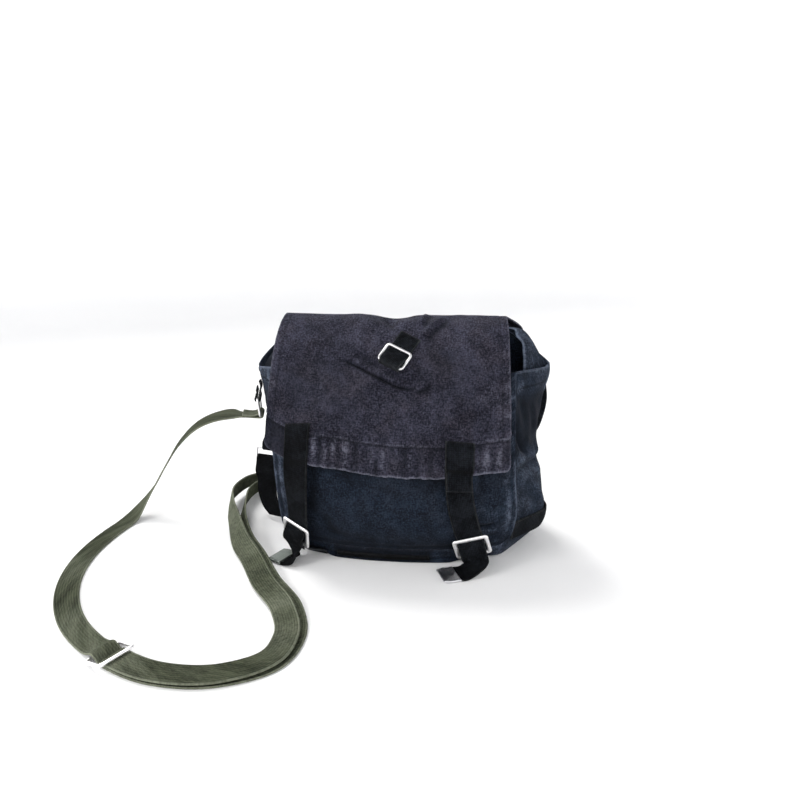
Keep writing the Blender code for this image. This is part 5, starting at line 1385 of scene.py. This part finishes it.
# The left tip's darker copy of the steel is painted shade.
tip_metal = {"left": metal_finish("shaded_steel", linear(120, 126, 122), linear(52, 55, 54), 0.48),
             "right": metal_finish("rubbed_steel", linear(205, 205, 208), linear(70, 70, 72), 0.32)}

for side in ("left", "right"):
    end, way, across = strap_ends[side]
    stations = np.linspace(0.0, 1.0, 33)
    middle = end + way * (GAP + stations[:, None] * TIP_LENGTH)
    middle[:, 2] = TIP_THICK / 2 + GAP
    narrow = 1.03 - 0.13 * ease(stations, 0.55, 1.0)
    reach = np.linspace(-0.5, 0.5, 25)[None, :] * narrow[:, None] * STRAP_WIDTH
    grid = middle[:, None, :] + reach[..., None] * across
    crimp = 0.12 * (bump(stations, 0.16, 0.05) + bump(stations, 0.34, 0.05))[:, None]
    plate = TIP_THICK * (0.97 - crimp * (1 - (np.linspace(-1, 1, 25)[None, :] ** 8)))
    plate = plate * (1 - 0.35 * ease(stations, 0.72, 1.0))[:, None]
    tip = cloth_piece("strap_end_" + side, grid, directions(grid, (0.0, 0.0, 1.0)), plate)
    tip.data.materials.append(tip_metal[side])
    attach(tip, "root")
    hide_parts("strap_tip_" + side)


# Buckles: plain rectangular frames of plated flat wire, with no tongue. Each is tied to the bottom of
# the bag by a short piece of webbing that is folded round its lower bar.
def wire_frame(name, width, height, corner, bar, thick, frame, node):
    """Closed rectangle of wire with round corners, its section an oval of bar by thick.

    Each place of the section follows its own rectangle, set in from the outer one, whose corners have
    the outer radius less that inset.
    """
    centre, ex, ey, ez = frame
    turns, sides, straight = 9, 20, 8
    angle = np.linspace(0.0, math.pi / 2, turns) + np.arange(4)[:, None] * math.pi / 2
    sx, sy = np.repeat([1, -1, -1, 1], turns)[:, None], np.repeat([1, 1, -1, -1], turns)[:, None]
    angle = angle.reshape(-1, 1)
    phi = (np.arange(sides) + 0.5) * 2 * math.pi / sides
    inset = bar / 2 * (1 - np.cos(phi))
    radius = np.maximum(corner - inset, GAP)
    plane = np.stack([sx * (width / 2 - inset - radius) + radius * np.cos(angle),
                      sy * (height / 2 - inset - radius) + radius * np.sin(angle)], axis=-1)
    loop = np.concatenate([plane, plane[:1]])
    share = np.concatenate([k + np.linspace(0, 1, straight if k % turns == turns - 1 else 1, endpoint=False)
                            for k in range(4 * turns)])
    i, a = share.astype(int), (share % 1)[:, None, None]
    plane = loop[i] * (1 - a) + loop[i + 1] * a
    grid = centre + plane[..., 0:1] * ex + plane[..., 1:2] * ey
    grid = grid + (np.sin(phi) * thick / 2)[None, :, None] * ez
    at = np.arange(grid.shape[0] * sides).reshape(-1, sides)
    nxt, up = np.roll(at, -1, axis=0), np.roll(at, -1, axis=1)
    faces = np.stack([at, nxt, np.roll(nxt, -1, axis=1), up], axis=-1).reshape(-1, 4)
    made = mesh_piece(name, grid.reshape(-1, 3), faces)
    made.data.materials.append(bright_metal)
    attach(made, "root")
    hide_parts(node)


def fold_round(bar_centre, along, out, bar, thick, back_run):
    """Middle line of webbing that comes to a bar on its inner side, turns round it and runs back.

    along points from the webbing to the bar, and out to the side on which the end comes back.
    """
    angle = np.radians(np.linspace(-90.0, 150.0, 9))[:, None]
    turn = (bar_centre + along * np.cos(angle) * (bar / 2 + WIRE_LIFT)
            + out * np.sin(angle) * (thick / 2 + WIRE_LIFT))
    level = LAYER - (thick / 2 + WIRE_LIFT)
    near = bar_centre - along * min(bar / 2 + 2.2 * WEB, back_run * 0.8) + out * (level + 0.1 * WEB)
    end = bar_centre - along * back_run + out * level
    return np.concatenate([turn, [near, end]])


def approach(bar_centre, along, out, thick, run):
    """Place of the webbing's middle line before its turn round a bar, at a distance from the bar."""
    return bar_centre - along * run - out * (thick / 2 + WIRE_LIFT)


for side in ("left", "right"):
    centre, ex, ey, ez = buckle = buckle_frame(side)
    wire_frame("buckle_frame_" + side, BUCKLE_WIDTH, BUCKLE_HEIGHT, BUCKLE_CORNER, BUCKLE_BAR, BUCKLE_THICK,
               buckle, "buckle_" + side)
    bar = centre - ey * (BUCKLE_HEIGHT - BUCKLE_BAR) / 2
    base_x = bar[0] + (0.85 * ANCHOR_WIDTH if side == "left" else -0.1 * ANCHOR_WIDTH)
    row = floor_row(base_x)
    foot = on_gusset(np.full(3, row), np.array([1.3, 1.0, 0.6]), FLAT_LIFT + STRAP_EASE * 2)
    start = approach(bar, ey, ez, BUCKLE_THICK, 0.004)
    line = np.concatenate([foot, [start], fold_round(bar, ey, ez, BUCKLE_BAR, BUCKLE_THICK, 0.0065)])
    foot_wide = unit(on_gusset(row + 0.5, 1.0, 0.0) - on_gusset(row - 0.5, 1.0, 0.0))
    wide = np.concatenate([np.tile(foot_wide, (3, 1)), np.tile(ex, (len(line) - 3, 1))])
    anchor_path = smooth_line(np.c_[line, wide], count=111)
    anchor, _ = tape_along("anchor_webbing_" + side, anchor_path, ANCHOR_WIDTH, FRONT, {})
    black_sheet("buckle_anchor_" + side)


# Loop on the lid: black webbing sewn down under a plated wire ring, brought round the ring's lower
# bar and tucked back under itself. It once held something on the lid.
LOOP_WIDTH = 0.0225
LOOP_REACH = 0.030
LOOP_DROP = 0.069
LOOP_X = 0.004
LOOP_TURN = math.radians(28.0)
LID_RING_WIRE = 0.0026
LID_RING_WIDTH = 0.0295
LID_RING_HEIGHT = 0.022
RING_CORNER = 0.0045


def beside_ring(across, along, lift):
    """Point beside the middle of the lid's ring: across and down the loop, lifted off the lid."""
    x = LOOP_X + across * math.cos(LOOP_TURN) - along * math.sin(LOOP_TURN)
    down = LOOP_DROP + across * math.sin(LOOP_TURN) + along * math.cos(LOOP_TURN)
    return on_lid_cloth(x, down, lift)


def tape_through(parts):
    """Path of webbing through the given places, each with its direction across."""
    line = np.concatenate([np.c_[p, np.broadcast_to(w, np.shape(p))] for p, w in parts])
    run = np.linalg.norm(np.diff(line[:, :3], axis=0), axis=1).sum()
    return smooth_line(line, int(run / 0.0006) + 12)


half_w, half_h = (LID_RING_WIDTH - LID_RING_WIRE) / 2, (LID_RING_HEIGHT - LID_RING_WIRE) / 2
ring_ends = beside_ring(np.array([-half_w, half_w]), np.zeros(2), np.zeros(2))
ring_sides = beside_ring(np.zeros(2), np.array([-half_h, half_h]), np.zeros(2))
centre, ex, ey, ez = frame_of(beside_ring(0.0, 0.0, 0.0), ring_ends[1] - ring_ends[0],
                              ring_sides[0] - ring_sides[1])
centre = centre + ez * (CLOTH / 2 + WEB + 5 * GAP + LID_RING_WIRE / 2)
wire_frame("lid_ring_wire", LID_RING_WIDTH, LID_RING_HEIGHT, RING_CORNER, LID_RING_WIRE, LID_RING_WIRE,
           (centre, ex, ey, ez), "lid_ring")
bar = centre - ey * half_h
clear = LID_RING_WIRE / 2 + WIRE_LIFT + GAP / 2
down_loop = np.linspace(-LOOP_REACH, -half_h + LID_RING_WIRE, 7)
sewn_part = beside_ring(np.zeros(7), down_loop, FLAT_LIFT + GAP + STRAP_EASE * np.linspace(1.5, 0.0, 7))
angle = np.radians(np.linspace(-90.0, 90.0, 7))[:, None]
turn = bar - ey * np.cos(angle) * clear - ez * np.sin(angle) * clear
rising = [turn[0] + ey * half_h * 0.9 - ez * 0.0013]
loop_path = tape_through([(sewn_part, ex), (rising, ex), (turn, ex),
                          ([turn[-1] + ey * 0.004, turn[-1] + ey * 0.008], ex)])
loop_along = path_run(loop_path)[:, None]
# Darker where the webbing passes under the ring's upper bar, a painted shadow of the bar.
loop_marks = {"soil_and_shade": 0.55 * bump(loop_along, 0.021, 0.004),
              "fade": 0.10 + 0.25 * bump(loop_along, 0.044, 0.004)}
loop, loop_grid = tape_along("lid_webbing", loop_path, LOOP_WIDTH, FRONT, loop_marks, curl=0.006)
black_sheet("lid_loop")
sew("lid_loop_stitches", [box_stitch(loop_grid, FRONT, 3, 22)])


# Left side strap: wide black webbing folded over a wire ring and hanging beside the back corner, its
# lower end drawn forward under the bag. A short tab of the same webbing holds the ring to the back.
SIDE_STRAP_WIDTH = 0.026
SIDE_RING_HEIGHT = 0.0155
SIDE_RING_X = -0.157
SIDE_RING_Z = 0.071
SIDE_TAB_RISE = 0.022


def hung_ring(name, width, height, ring_frame, node):
    """Wire ring, and its two bars' middles: the upper, then the lower."""
    wire_frame(name, width, height, RING_CORNER, RING_WIRE, RING_WIRE, ring_frame, node)
    half = ring_frame[2] * (height - RING_WIRE) / 2
    return ring_frame[0] + half, ring_frame[0] - half


def black_tape(name, parts, width, node, toward, soil_and_shade=0.0):
    """Black webbing through the given places, which stands for one solid. Returns its grid."""
    path = tape_through(parts)
    made, grid = tape_along(name, path, width, toward, {"soil_and_shade": soil_and_shade})
    black_sheet(node)
    return grid


def round_ring(bar, along, out, before, back_run, across):
    """Places of webbing that comes to a ring's bar, turns round it and runs back on its out side."""
    return [([approach(bar, along, out, RING_WIRE, before)], across),
            (fold_round(bar, along, out, RING_WIRE, RING_WIRE, back_run), across)]


y = BACK_SEAM_Y + 0.0075
ex = unit((0.97, -0.24, 0.0))
side_frame = frame_of((SIDE_RING_X, y, SIDE_RING_Z), ex, (0.10, 0.25, 0.96))
up, ez = side_frame[2], side_frame[3]
upper, lower = hung_ring("side_ring_wire", SIDE_STRAP_WIDTH + 2.4 * RING_WIRE, SIDE_RING_HEIGHT, side_frame,
                         "side_ring_left")
top = upper[2] + SIDE_TAB_RISE
sewn_x = upper[0] + 0.35 * SIDE_STRAP_WIDTH
sewn_y = back_y(sewn_x, top) + FLAT_LIFT + STRAP_EASE
sewn = np.array([(sewn_x, sewn_y, top), (sewn_x, sewn_y, top - 0.004)])
bar = upper + ex * 0.10 * SIDE_STRAP_WIDTH
black_tape("side_tab_webbing", [(sewn, (1.0, 0.0, 0.0)), *round_ring(bar, -up, -ez, 0.006, 0.011, ex)],
           SIDE_STRAP_WIDTH * 0.72, "side_tab_left", (0.0, 1.0, 0.0))
turned = fold_round(lower, up, -ez, RING_WIRE, RING_WIRE, 0.014)[::-1]
hang = [approach(lower, up, -ez, RING_WIRE, run) for run in (0.005, 0.018)]
x = lower[0]
under = np.array([(x - 0.001, y - 0.006, 0.040), (x + 0.001, y - 0.014, 0.026),
                  (x + 0.009, y - 0.026, 0.0125), (x + 0.019, y - 0.038, 0.0065)])
ways = np.array([ex, (0.95, -0.30, 0.05), (0.90, -0.38, 0.16), (0.86, -0.46, 0.10)])
black_tape("side_strap_webbing", [(turned, ex), (hang, ex), (under, ways)],
           SIDE_STRAP_WIDTH, "side_strap_left", FRONT, 0.80)


# Rings of the shoulder strap: plated wire, held at the left by a short tab on the gusset and at the
# right by a long one down the back corner. Both tabs are black webbing folded round their rings.
STRAP_RING_WIDTH = 0.031
STRAP_RING_HEIGHT = 0.022
LEFT_TAB_Z = 0.166
LEFT_TAB_LENGTH = 0.018
RIGHT_TAB_Z = 0.168
RIGHT_TAB_LENGTH = 0.072
SHOULDER_WIDTH = 0.0215

# Shoulder strap on its way from the left ring to the right ring, a row for each place: x as a share
# of half of BACK_WIDTH, y as a share of the depth, height above its rest as a share of BACK_HEIGHT,
# lean of the webbing to its outer side in degrees
STRAP_ROUTE = np.array([
    (-1.24, 0.325, 0.533, -13),
    (-1.36, 0.33, 0.518, -13),
    (-1.52, 0.34, 0.475, -10),
    (-1.69, 0.34, 0.380, -5),
    (-1.83, 0.32, 0.250, 0),
    (-1.95, 0.24, 0.115, 0),
    (-2.05, 0.02, 0.015, 0),
    (-2.10, -0.40, 0.000, 0),
    (-2.09, -0.95, 0.000, 0),
    (-1.98, -1.50, 0.000, 0),
    (-1.75, -2.02, 0.000, 0),
    (-1.41, -2.42, 0.000, 0),
    (-1.04, -2.64, 0.000, 0),
    (-0.70, -2.60, 0.000, 0),
    (-0.47, -2.36, 0.000, 0),
    (-0.43, -2.02, 0.000, 0),
    (-0.51, -1.64, 0.000, -6),
    (-0.725, -1.21, 0.000, -14),
    (-0.88, -0.83, 0.000, -24),
    (-1.03, -0.50, 0.000, -36),
    (-1.15, -0.085, 0.000, -56),
    (-1.215, 0.32, 0.000, -72),
    (-1.25, 0.66, 0.000, -76),
    (-1.225, 0.95, 0.000, -66),
    (-1.15, 1.13, 0.000, -46),
    (-0.97, 1.22, 0.000, -22),
    (-0.73, 1.23, 0.000, -6),
    (-0.30, 1.20, 0.000, 0),
    (0.30, 1.18, 0.000, 0),
    (0.64, 1.10, 0.020, 0),
    (0.80, 0.94, 0.090, 0),
    (0.88, 0.78, 0.190, 0),
])

ring_column = float(np.interp(STRAP_ROUTE[0, 1] * DEPTH, gusset_base[4 * FINE_ROWS, ::FINE_COLUMNS, 1],
                              np.arange(GUSSET_COLUMNS + 1)))
side_z = grid_at(gusset_base, np.arange(SIDE_PARTS + 1) * FINE_ROWS,
                 np.full(SIDE_PARTS + 1, ring_column * FINE_COLUMNS))[:, 2]
sewn_z = LEFT_TAB_Z - np.array([0.0, 0.006])
sewn_rows = np.interp(-sewn_z, -side_z, np.arange(SIDE_PARTS + 1))
left_sewn = on_gusset(sewn_rows, np.full(2, ring_column), FLAT_LIFT + STRAP_EASE)
along_wall = unit(on_gusset(sewn_rows[1], ring_column - 0.5, 0.0)
                  - on_gusset(sewn_rows[1], ring_column + 0.5, 0.0))
left_centre = left_sewn[1] + (-0.0035, 0.0, -LEFT_TAB_LENGTH - STRAP_RING_HEIGHT / 2 + 0.006)
left_frame = frame_of(left_centre, along_wall * (1, 1, 0), (-0.1, 0.0, 0.99))
right_z = RIGHT_TAB_Z - RIGHT_TAB_LENGTH - STRAP_RING_HEIGHT / 2
right_x = STRAP_ROUTE[-1, 0] * BACK_WIDTH / 2 + 0.25 * STRAP_WIDTH
right_frame = frame_of((right_x, BACK_SEAM_Y + 0.0095, right_z), (-1.0, 0.0, 0.0), (0.0, 0.0, 1.0))

ex, up, ez = left_frame[1:]
upper, _ = hung_ring("strap_ring_wire_left", STRAP_RING_WIDTH, STRAP_RING_HEIGHT, left_frame,
                     "strap_ring_left")
black_tape("ring_tab_webbing_left", [(left_sewn, along_wall), *round_ring(upper, -up, ez, 0.005, 0.011, ex)],
           SHOULDER_WIDTH, "ring_tab_left", (-1.0, 0.0, 0.0))
up, ez = right_frame[2], right_frame[3]
upper, _ = hung_ring("strap_ring_wire_right", STRAP_RING_WIDTH, STRAP_RING_HEIGHT, right_frame,
                     "strap_ring_right")
x_top = back_half_width(RIGHT_TAB_Z, 1) - 0.22 * STRAP_WIDTH
tops = RIGHT_TAB_Z - np.array([0.0, 0.02, 0.04, 0.055])
xs = np.linspace(x_top, upper[0], 5)[:4] + np.array([-0.006, 0.0010, 0.0030, 0.0030])
ys = back_y(xs - 0.5 * SHOULDER_WIDTH, tops) + FLAT_LIFT + STRAP_EASE
wide = (1.0, 0.0, 0.0)
right_tab_grid = black_tape(
    "ring_tab_webbing_right", [(np.c_[xs, ys, tops], wide), *round_ring(upper, -up, ez, 0.006, 0.014, wide)],
    SHOULDER_WIDTH, "ring_tab_right", (0.0, 1.0, 0.0))
sew("ring_tab_stitches", [box_stitch(right_tab_grid, (0.0, 1.0, 0.0), 3, 24)])


# Shoulder strap: one long olive cotton webbing, folded round the left ring and round the right one. It
# hangs from the left ring, lies in a wide loop beside the bag and passes behind it. A second layer,
# which the slide holds, doubles its right half, as on a strap whose length is set by a slide.
FOLD_BACK = 0.020
SLIDE_BAR = 0.0032
SLIDE_HEIGHT = 0.024
SLIDE_ROW = 11
FLOOR_REST = WEB / 2 + GAP
ROUTE_STATIONS = 900

# Second layer, a row for each share of the way from the slide to the right ring: shift to the outer
# side of the bend as a share of SHOULDER_WIDTH, and how far it stands off beyond its own layer as a
# number of layers
RETURN_ROWS = np.array([
    (0.00, 0.00, 0.0),
    (0.12, 0.05, 0.1),
    (0.25, 0.32, 0.2),
    (0.31, 0.26, 0.2),
    (0.36, 0.20, 0.3),
    (0.40, 0.15, 0.6),
    (0.45, 0.12, 1.6),
    (0.49, 0.05, 4.6),
    (0.53, 0.00, 6.2),
    (0.56, 0.00, 5.4),
    (0.60, 0.00, 2.4),
    (0.66, 0.00, 0.6),
    (0.80, 0.00, 0.2),
    (1.00, 0.00, 0.1),
])


def between_rings():
    """Path of the shoulder strap from ring to ring: its middle line, and the direction across it.

    A smooth line joins the places of the route. The webbing stands on its lower edge where it leans,
    and next to a ring its direction across turns into the ring's own.
    """
    x, y = STRAP_ROUTE[:, 0] * BACK_WIDTH / 2, STRAP_ROUTE[:, 1] * DEPTH
    z = FLOOR_REST + STRAP_ROUTE[:, 2] * BACK_HEIGHT
    z = z + np.abs(np.sin(np.radians(STRAP_ROUTE[:, 3]))) * SHOULDER_WIDTH / 2
    half = (STRAP_RING_HEIGHT - RING_WIRE) / 2
    way = np.array((-0.99, 0.0, 0.08))
    way = unit(way - left_frame[1] * np.dot(way, left_frame[1]))
    out = unit(np.cross(way, left_frame[1]))
    out = out * np.sign(out[2])
    start_bar = left_frame[0] - left_frame[2] * half
    end_bar = right_frame[0] - right_frame[2] * half
    start = approach(start_bar, -way, out, RING_WIRE, np.array([[0.004], [0.022]]))
    end = approach(end_bar, right_frame[2], right_frame[3], RING_WIRE, np.array([[0.022], [0.004]]))
    line = np.concatenate([np.c_[start, np.zeros(2)], np.c_[x, y, z, STRAP_ROUTE[:, 3]],
                           np.c_[end, np.zeros(2)]])
    path = smooth_line(line, ROUTE_STATIONS)
    low_edge = np.abs(np.sin(np.radians(path[:, 3]))) * SHOULDER_WIDTH / 2
    path[:, 2] = np.maximum(path[:, 2], FLOOR_REST + low_edge)
    run = path_run(path)
    tangent = unit(np.gradient(path[:, :3], axis=0))
    flat = unit(np.c_[-tangent[:, 1], tangent[:, 0], np.zeros(len(path))])
    steep = np.clip((path[:, 2] - 0.002) / 0.03, 0.0, 1.0)[:, None]
    at_left = (steep > 0) & (run < run[-1] / 2)[:, None]
    at_right = (steep > 0) & (run > run[-1] * 0.8)[:, None]
    left_way = left_frame[1] * np.sign(left_frame[1][1] * flat[5, 1])
    right_way = np.array([np.sign(flat[-60, 0]), 0.0, 0.0])
    flat = np.where(at_left, unit(flat * (1 - steep) + left_way * steep), flat)
    flat = np.where(at_right, unit(flat * (1 - steep) + right_way * steep), flat)
    lean = np.radians(path[:, 3])[:, None]
    across = flat * np.cos(lean) + np.array([0.0, 0.0, 1.0]) * np.sin(lean)
    left_fold = fold_round(start_bar, -way, out, RING_WIRE, RING_WIRE, FOLD_BACK)[::-1]
    right_fold = fold_round(end_bar, right_frame[2], right_frame[3], RING_WIRE, RING_WIRE, FOLD_BACK)
    return path[:, :3], unit(across), left_fold, right_fold


olive_webbing = webbing_finish("olive_webbing", linear(30, 34, 26), linear(80, 84, 68), linear(120, 124, 108),
                               0.0022, 0.84, 0.20)
strap_line, strap_across, left_fold, right_fold = between_rings()
strap_run = path_run(strap_line)
slide_x, slide_y = STRAP_ROUTE[SLIDE_ROW, :2] * (BACK_WIDTH / 2, DEPTH)
slide_at = np.argmin(np.hypot(strap_line[:, 0] - slide_x, strap_line[:, 1] - slide_y))
hump = (SLIDE_BAR + LAYER) * bump(strap_run, strap_run[slide_at], SLIDE_BAR * 2.2)
raised = strap_line + np.c_[np.zeros((ROUTE_STATIONS, 2)), hump]


def shoulder_tape(name, line, across, rubbed):
    """Olive tape along a line, evenly spaced, rubbed pale by values at even steps along it."""
    path = smooth_line(np.c_[line, across], int(path_run(line)[-1] / 0.0016))
    share = path_run(path) / path_run(path)[-1]
    fade = np.interp(share, np.linspace(0, 1, len(rubbed)), rubbed)[:, None]
    made, _ = tape_along(name, path, SHOULDER_WIDTH, (0.0, 0.0, 1.0), {"fade": fade}, finish=olive_webbing)
    return made, path


whole = np.concatenate([left_fold, raised[::6], raised[-1:], right_fold])
whole_across = np.concatenate([np.tile(strap_across[0], (len(left_fold), 1)), strap_across[::6],
                               strap_across[-1:], np.tile(strap_across[-1], (len(right_fold), 1))])
olive_strap, olive_path = shoulder_tape(
    "shoulder_webbing", whole, whole_across,
    0.25 + 0.25 * rumple(np.linspace(0, 1.4, 200), 0, 0.05, 121))
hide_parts("shoulder_strap")

strap_tangent = unit(np.gradient(strap_line, axis=0))
strap_normal = unit(np.cross(strap_tangent, strap_across))
strap_normal = strap_normal * np.sign(strap_normal[:, 2:3] + 1e-9)
turned_over = np.sign(np.sum(strap_normal * np.r_[strap_normal[:1], strap_normal[:-1]], axis=1))
strap_normal = strap_normal * np.cumprod(turned_over)[:, None]
begin, stop = strap_run[slide_at] + 0.012, strap_run[-1] - FOLD_BACK - 0.012
stations = np.linspace(begin, stop, 84)
share = (stations - begin) / (stop - begin)
nearest = np.round(np.interp(stations, strap_run, np.arange(ROUTE_STATIONS))).astype(int)
shift = curve(RETURN_ROWS, 1, share) * SHOULDER_WIDTH
stand = LAYER * (1.15 + curve(RETURN_ROWS, 2, share))
second = (strap_line[nearest] + strap_normal[nearest] * stand[:, None]
          + strap_across[nearest] * shift[:, None])
olive_return, return_path = shoulder_tape(
    "shoulder_webbing_return", second, strap_across[nearest],
    0.30 + 0.25 * rumple(np.linspace(0, 0.8, 200), 0, 0.05, 131))
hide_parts("strap_return")

bar = strap_line[slide_at] + np.array([0.0, 0.0, (SLIDE_BAR - WEB) / 2])
slide_frame = frame_of(bar + strap_tangent[slide_at] * (SLIDE_HEIGHT - SLIDE_BAR) / 2 * 0.97 + (0, 0, LAYER),
                       strap_across[slide_at], -strap_tangent[slide_at] * 0.97 - np.array([0.0, 0.0, 0.24]))
wire_frame("strap_slide_wire", SHOULDER_WIDTH + 3.5 * SLIDE_BAR, SLIDE_HEIGHT, RING_CORNER, SLIDE_BAR,
           SLIDE_BAR, slide_frame, "strap_slide")


# Stitches of the canvas: dark thread along the lid's broad hem, its side hems, the gusset's hems, and
# round both panels' seams, but not where the gusset lies on the surface.
FLOOR_CLEAR = 0.0012

lid_columns = np.linspace(7.0, LID_COLUMNS - 8.0, 400)
hem_rows = np.array([np.interp(-BROAD_HEM, -lid_foot_gap[:, int(round(c))], np.arange(len(lid_pile)))
                     for c in lid_columns])
broad = on_face(lid_pile, lid_face, hem_rows, lid_columns, CLOTH * 0.475)
side_rows = np.linspace(30.0, len(lid_pile) - 3.0, 300)
side_share = SIDE_HEM / lid_half_width(FLAP_FALL / 2)
half_columns = (LID_COLUMNS - 1) / 2
side_hems = [on_face(lid_pile, lid_face, side_rows, half_columns * place, CLOTH * 0.475)
             for place in (side_share, 2 - side_share)]
sew("lid_stitches", [broad, *side_hems])

gusset_face = outward(gusset_pile)
hem_lines = []
for half in (slice(0, 90), slice(len(gusset_pile) - 90, len(gusset_pile))):
    z = gusset_pile[half, :, 2]
    order = np.argsort(z[:, 30])
    hem_columns = np.linspace(1.5, gusset_pile.shape[1] - 2.5, 260)
    places = np.array([np.interp(HEM_STITCH_Z, z[order, int(round(c))], np.arange(len(z))[order]) + half.start
                       for c in hem_columns])
    hem_lines.append(on_face(gusset_pile, gusset_face, places, hem_columns, CLOTH * 0.6))
seam_lines = []
seam_rows = np.linspace(4.0, len(gusset_pile) - 5.0, 700)
for c in (3.6, gusset_pile.shape[1] - 4.6):
    points, out = on_face(gusset_pile, gusset_face, seam_rows, c, CLOTH / 2)
    off_floor = points[:, 2] > FLOOR_CLEAR
    runs = np.split(np.arange(len(points)), np.flatnonzero(np.diff(off_floor)) + 1)
    seam_lines += [(points[run], out[run]) for run in runs if off_floor[run[0]] and len(run) > 8]
sew("gusset_stitches", hem_lines + seam_lines)


# Surface and light: pale paper that curves up into a round wall, whose glow rising with height is painted
# light, a broad soft lamp from behind at the left, a smaller one at the front left, and pale light all round.
# None of it belongs to the bag.
def bowl(radius, height, curl, turns=96):
    """Floor that bends up into a round wall: a flat disc, a quarter circle of the curl, then straight up."""
    angle = np.linspace(0, math.pi / 2, 17)
    r = np.r_[0.001, np.linspace(0.1, radius - curl, 12), radius - curl + curl * np.sin(angle[1:]), radius]
    z = np.r_[0.0, np.zeros(12), curl * (1 - np.cos(angle[1:])), height]
    turn = np.linspace(0, 2 * math.pi, turns, endpoint=False)
    grid = np.stack([r[:, None] * np.cos(turn), r[:, None] * np.sin(turn), z[:, None] + 0 * turn], axis=-1)
    at = np.arange(len(r) * turns).reshape(len(r), turns)
    after = np.roll(at, -1, 1)
    faces = np.stack([at[:-1], after[:-1], after[1:], at[1:]], axis=-1).reshape(-1, 4)
    return mesh_piece("backdrop", grid.reshape(-1, 3), faces[:, ::-1])


backdrop = bowl(3.0, 2.4, 1.0)
paper = Finish("pale_paper", 0.9, Specular_IOR_Level=0.2, Emission_Strength=1.0)
paper.fill("Base Color", paper.blend(paper.grain(paper.body_place(), 0.25, 2.0, 0.5), linear(244, 244, 245),
                                     linear(247, 247, 247)))
_, _, height = paper.parts(paper.body_place())
# The wall glows more with height, with none on the floor: painted light that lights the bag from all round.
paper.fill("Emission Color", paper.blend(height.from_to(0.0, 0.45), (0.0, 0.0, 0.0), (0.66, 0.66, 0.66)))
backdrop.data.materials.append(paper.material)

world = bpy.data.worlds.new("pale_room")
world.use_nodes = True
world.node_tree.nodes["Background"].inputs["Color"].default_value = (0.95, 0.97, 1.0, 1.0)
world.node_tree.nodes["Background"].inputs["Strength"].default_value = 0.29
bpy.context.scene.world = world


def lamp(name, kind, place, aim, strength, colour, **settings):
    """Lamp at a place, turned to its aim."""
    light = bpy.data.lights.new(name, kind)
    light.energy, light.color = strength, colour
    for key, value in settings.items():
        setattr(light, key, value)
    made = bpy.data.objects.new(name, light)
    made.location = place
    made.rotation_euler = (Vector(aim) - Vector(place)).to_track_quat("-Z", "Y").to_euler()
    bpy.context.collection.objects.link(made)


lamp("key", "SUN", (-0.62, 0.72, 1.20), (0.0, 0.0, 0.1), 2.2, (1.0, 0.99, 0.97), angle=math.radians(28.0))
lamp("front", "AREA", (-1.5, -1.0, 1.1), (0.0, 0.0, 0.1), 17.0, (1.0, 0.99, 0.98), size=0.7)

camera_data = bpy.data.cameras.new("camera")
camera_data.lens = 27.675
camera_data.sensor_width = 36.0
camera_data.shift_x, camera_data.shift_y = 0.0079, 0.0349
camera = bpy.data.objects.new("camera", camera_data)
camera.location = (0.0647, -0.6157, 0.3262)
camera.rotation_euler = (Vector((0.0, 0.0, 0.125)) - camera.location).to_track_quat("-Z", "Y").to_euler()
bpy.context.collection.objects.link(camera)
bpy.context.scene.camera = camera
bpy.context.scene.view_settings.view_transform = "Standard"
